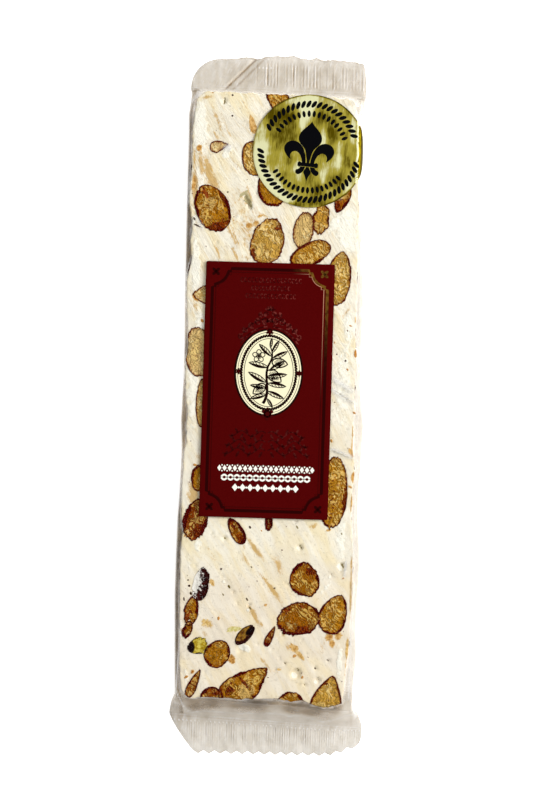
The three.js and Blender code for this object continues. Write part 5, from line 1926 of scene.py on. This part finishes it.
# Where the foil catches light (+) or stays dark (-): x and y from its middle, width, height, strength
GLINTS = [
    (-2.6, 9, 0.8, 4, 1.3), (-1.4, 13, 1.6, 4, 0.8), (0.2, 17.2, 5, 1.8, 1.3), (-6.2, 6, 2.2, 6, -0.9),
    (-10.8, 6, 3, 6, -0.7), (-15.6, 3, 2, 6, 0.9), (-14.6, -1, 1.4, 4, 0.8), (-9.5, 13, 4, 4, -0.3),
    (4.6, 5, 1.1, 4, 1.2), (8.2, 6, 2.4, 5, -0.6), (9.8, -1.4, 1.7, 5, 1.5), (14.2, 8, 1, 5, 1.1),
    (11.8, 0, 1.4, 6, -0.5), (4.6, -8.6, 1.3, 3, 1.2), (-3.8, -6.6, 1.4, 4, 0.7),
    (-6.6, -3.6, 2, 5, -0.4), (-10.6, -5, 2.6, 5, 0.4), (-8, -12.4, 3.6, 2.6, -0.4),
    (1, -12.6, 5, 3, -0.5), (1, -17.6, 6, 1.3, -1), (9.6, -8.6, 2.6, 4, -0.4), (13, -11.6, 3, 2.4, 1),
    (-17.4, -4, 1.3, 7, 2), (-14.4, -10, 2.1, 3.6, 1.8), (-11.2, -13.6, 2.8, 2, 1.7),
    (-7.8, -16.7, 2.8, 1, 1.6), (13.2, -7, 1.6, 3, 0.5), (-11, -11.6, 3.4, 2.4, 1.2),
    (-5.6, -15, 3.6, 1.8, 0.9), (-1, 14.6, 3.4, 3.4, 1.2), (-6.4, 16.4, 2.6, 2, 1),
    (-6, 12.6, 2, 2.4, -0.3), (14.9, -0.4, 0.9, 2.4, -0.8), (3.4, 12.6, 1.8, 3, -0.4),
]


def on_seal(flat, lift):
    """Places for flat places given from the seal's middle, lift above its face."""
    return on_film(np.asarray(flat) + SEAL_CENTRE, SEAL_LIFT + lift)


def seal_mesh():
    spokes = 200
    radii = np.concatenate((np.linspace(0.4, SEAL_RADIUS - 0.15, 44), (SEAL_RADIUS, SEAL_RADIUS)))
    lifts = np.concatenate((np.zeros(44), (-0.06, -0.18)))
    points, glows = [], []
    for radius, lift in zip(radii, lifts):
        flat = arc(0, 0, radius, radius, 0, 360 - 360 / spokes, spokes)
        points.extend(on_seal(flat, lift).tolist())
        glow = np.zeros(spokes)
        for x, y, width, height, strength in GLINTS:
            glow += strength * np.exp(-(((flat[:, 0] - x) / width) ** 2) - ((flat[:, 1] - y) / height) ** 2)
        # Painted shade on the rim except at its lower left, a painted white highlight along the fold ridge,
        # and painted dark beyond it
        rim = ease((radius - SEAL_RADIUS + 0.6) / 0.3) * ease((flat[:, 0] + flat[:, 1] * 0.5 + 6) / 8)
        glow -= 1.6 * rim
        ridge = np.exp(-(((flat[:, 0] - FOLD_RIDGE) / 0.2) ** 4))
        glow = mix(mix(glow, -1.4, ease((flat[:, 0] - FOLD_RIDGE - 0.1) / 0.2)), 3.8, ridge)
        glows.extend(glow.tolist())
    faces = loop_faces(len(radii), spokes)
    faces.append(tuple(range(spokes))[::-1])
    under = on_seal(arc(0, 0, SEAL_RADIUS - 1, SEAL_RADIUS - 1, 0, 360 - 360 / spokes, spokes), -0.2)
    first = len(points)
    points.extend(under.tolist())
    glows.extend([0.0] * spokes)
    faces.extend(loop_faces(2, spokes, first - spokes))
    faces.append(tuple(range(first, first + spokes)))
    return points, faces, {"glow": glows}


seal = make_piece("seal", *seal_mesh())


# %% Seal material
def brushed_foil():
    material, tree, shader = new_material("brushed_gold_foil", 0.34, Metallic=1.0)
    place = millimetres(tree)
    glow = number(tree, "glow")
    crumpled = mottle(warped(place, 0.12, 3), 0.16, 2)
    broad = streaks(place, 80, 4, 1.8, 4)
    middling = streaks(place, 85, 3.4, 0.5, 8)
    fine = streaks(place, 86, 4, 0.16, 6)
    level = glow
    for sheen, strength in ((crumpled, 2.6), (broad, 1.2), (middling, 1.6), (fine, 1.6)):
        level = times(maths("SUBTRACT", sheen, 0.5), strength, level)
    colour = blend(remap(level, -1.9, -0.8), rgb(56, 46, 0), rgb(96, 82, 4))
    colour = blend(remap(level, -0.9, 0.15), colour, rgb(188, 173, 64))
    colour = blend(remap(level, 0.15, 1.2), colour, rgb(255, 254, 200))
    colour = blend(remap(level, 2.8, 3.2), colour, rgb(255, 255, 248))
    paint(shader, colour)
    bump(shader, fine, 0.06, 0.5)
    return material


dress(seal, brushed_foil(), "gold_foil", "gold_seal")

# %% [markdown]
# The lily on the seal is a traditional figure. Half of it is drawn with cubic curves and mirrored: a
# middle petal, a side petal that hooks over, a band, and a tail below. Its print is thin and black.

# %% Lily
LILY_TURN = -4.6
LILY_SCALE = 1.04


def half_shapes():
    """Right halves that are mirrored: outlines start and end on the middle line or stand alone."""
    middle = curve_through(
        (0, 9.4), (0.7, 7.6), (3.9, 6.2), (3.7, 3.6), (3.55, 1.8), (1.6, 1.4), (1.05, -0.6), (0.7, -1.9),
        (0.45, -3), (0.4, -4), (0.2, -4), (0.1, -4), (0, -4),
    )
    petal = curve_through(
        (0.7, -4), (0.8, -2.6), (1.1, -1), (1.75, 0.3), (2.4, 1.8), (3.9, 2.8), (5.4, 2.7), (7.6, 2.5),
        (8.6, 0.4), (7.6, -1.2), (7.1, -2.1), (6.4, -2.8), (5.6, -3.2), (6.1, -2.2), (5.9, -0.8),
        (4.6, -0.55), (3.4, -0.4), (2.3, -1.6), (1.9, -4), (1.5, -4), (1.1, -4), (0.7, -4),
    )
    band = ((0, -3.9), (2.2, -3.9), (2.7, -3.6), (3.25, -4), (3.25, -5), (2.7, -5.4), (2.2, -5.1), (0, -5.1))
    foot = curve_through(
        (0.75, -5.2), (1, -6.4), (1.6, -7.5), (2.9, -7.8), (3.8, -7.7), (4, -6.4), (3.3, -6.2),
        (2.8, -6.1), (2.4, -5.8), (2.3, -5.2), (1.8, -5.2), (1.2, -5.2), (0.75, -5.2),
    )
    tail = curve_through(
        (0, -5.2), (0.2, -5.2), (0.4, -5.2), (0.45, -5.2), (0.6, -6), (1.5, -6.6), (1.1, -7.2),
        (0.8, -7.7), (0.3, -8.6), (0, -10.1),
    )
    return (middle, band, tail), (petal, foot)


lily = Print(on_seal, 0.0, 0.03)
halves, pairs = half_shapes()
for half in halves:
    half = np.asarray(half, float)
    whole = np.concatenate((half, half[::-1][1:-1] * (-1, 1)))
    lily.fill(moved(whole, -0.1, 0.1, LILY_TURN, LILY_SCALE))
for shape in pairs:
    lily.fill(moved(shape[:-1], -0.1, 0.1, LILY_TURN, LILY_SCALE))
    lily.fill(moved(shape[:-1] * (-1, 1), -0.1, 0.1, LILY_TURN, LILY_SCALE))
seal_black = plain_print("seal_print", rgb(3, 3, 6), rgb(6, 6, 9), 0.5)
dress(lily.build("lily"), seal_black, "gold_foil")

# %% Rings of leaves and beads
# name, radius, first and last angle, pitch, length, width, tilt
for ring_name, radius, start, end, pitch, long, wide, tilt in (
    ("leaves_above", 15.5, 151, 20, 1.7, 2.7, 1.3, 58), ("leaves_below", 16.1, 181, 345, 1.7, 2.7, 1.3, 58),
    ("beads_above", 12.3, 147, 21, 1.6, 2.2, 1.1, 90), ("beads_below", 13.0, 212, 318, 1.6, 2.2, 1.1, 90),
):
    places = on_seal(arc(0, 0, radius, radius, start, end, 90), 0.02)
    ring_piece = row_of(ring_name, places, seal_black, pitch, long, wide, 0.12, tilt=tilt)
    dress(ring_piece, None, "gold_foil")

# %% [markdown]
# ## Crumbs
# The blade scatters crumbs of nut and skin over the cut. Another node tree drops points on the slab's
# top, puts a rough flake on each, with its own size and turn, and makes real mesh of them.

# %% Geometry Nodes: scattered flakes
FLAKE_SHAPE = (1.0, 0.6, 0.25)  # length, width and thickness for a length of 1


def build_scatter():
    number_kind = "NodeSocketFloat"
    tree, inputs = geometry_tree("scattered_flakes", (
        ("Density", number_kind, 1000.0), ("Smallest", number_kind, 0.001), ("Largest", number_kind, 0.002),
        ("Seed", "NodeSocketInt", 1), ("Material", "NodeSocketMaterial", None),
    ))
    normal = add(tree, "GeometryNodeInputNormal")
    upward = split(normal.outputs[0])["Z"]
    settings = {"data_type": "FLOAT", "operation": "GREATER_THAN"}
    facing_up = add(tree, "FunctionNodeCompare", settings, i0=upward, i1=0.9)
    points = add(tree, "GeometryNodeDistributePointsOnFaces", Mesh=inputs["Geometry"], Seed=inputs["Seed"])
    tree.links.new(inputs["Density"], points.inputs["Density"])
    tree.links.new(facing_up.outputs[0], points.inputs["Selection"])
    settings = {"data_type": "FLOAT"}
    size = add(tree, "FunctionNodeRandomValue", settings, i2=inputs["Smallest"], i3=inputs["Largest"])
    turn = add(tree, "FunctionNodeRandomValue", {"data_type": "FLOAT_VECTOR"})
    turn.inputs[0].default_value = (0, 0, 0)
    turn.inputs[1].default_value = (0, 0, 2 * math.pi)
    for draw in (size, turn):
        tree.links.new(inputs["Seed"], draw.inputs["Seed"])
    rotation = add(tree, "FunctionNodeEulerToRotation", Euler=turn.outputs[0])
    flake = add(tree, "GeometryNodeMeshIcoSphere", Radius=0.5, Subdivisions=2)
    shape = resized(FLAKE_SHAPE, size.outputs[1])
    placed = instances(tree, points.outputs[0], flake.outputs[0], rotation.outputs[0], shape)
    real = add(tree, "GeometryNodeRealizeInstances", Geometry=placed)
    place = add(tree, "GeometryNodeInputPosition").outputs[0]
    push = push_about(place, 1.4 / MM, 0.5 * MM)
    rough = add(tree, "GeometryNodeSetPosition", Geometry=real.outputs[0], Offset=push)
    return finish_tree(tree, rough.outputs[0], inputs["Material"])


scatter = build_scatter()


def flakes(name, material, per_square_cm, smallest, largest, seed):
    base = nougat_slab.copy()
    base.data = nougat_slab.data.copy()
    scene.collection.objects.link(base)
    values = {"Density": per_square_cm * 1e4, "Smallest": smallest * MM, "Largest": largest * MM}
    values.update({"Seed": seed, "Material": material})
    return grow(name, base, scatter, values)


# The dark specks stand for crumbs of skin and for tiny holes, painted dark as the shade in them
speck_shade_and_skin_crumb = plain_print("speck_shade_and_skin_crumb", rgb(74, 30, 22), rgb(120, 60, 32), 0.6)
tan_crumb = plain_print("tan_crumb", rgb(208, 160, 92), rgb(178, 118, 56), 0.6)
dress(flakes("dark_specks", speck_shade_and_skin_crumb, 0.9, 0.25, 0.6, 3), None, "nougat_in_film")
dress(flakes("tan_crumbs", tan_crumb, 0.35, 0.5, 1.5, 8), None, "nougat_in_film")
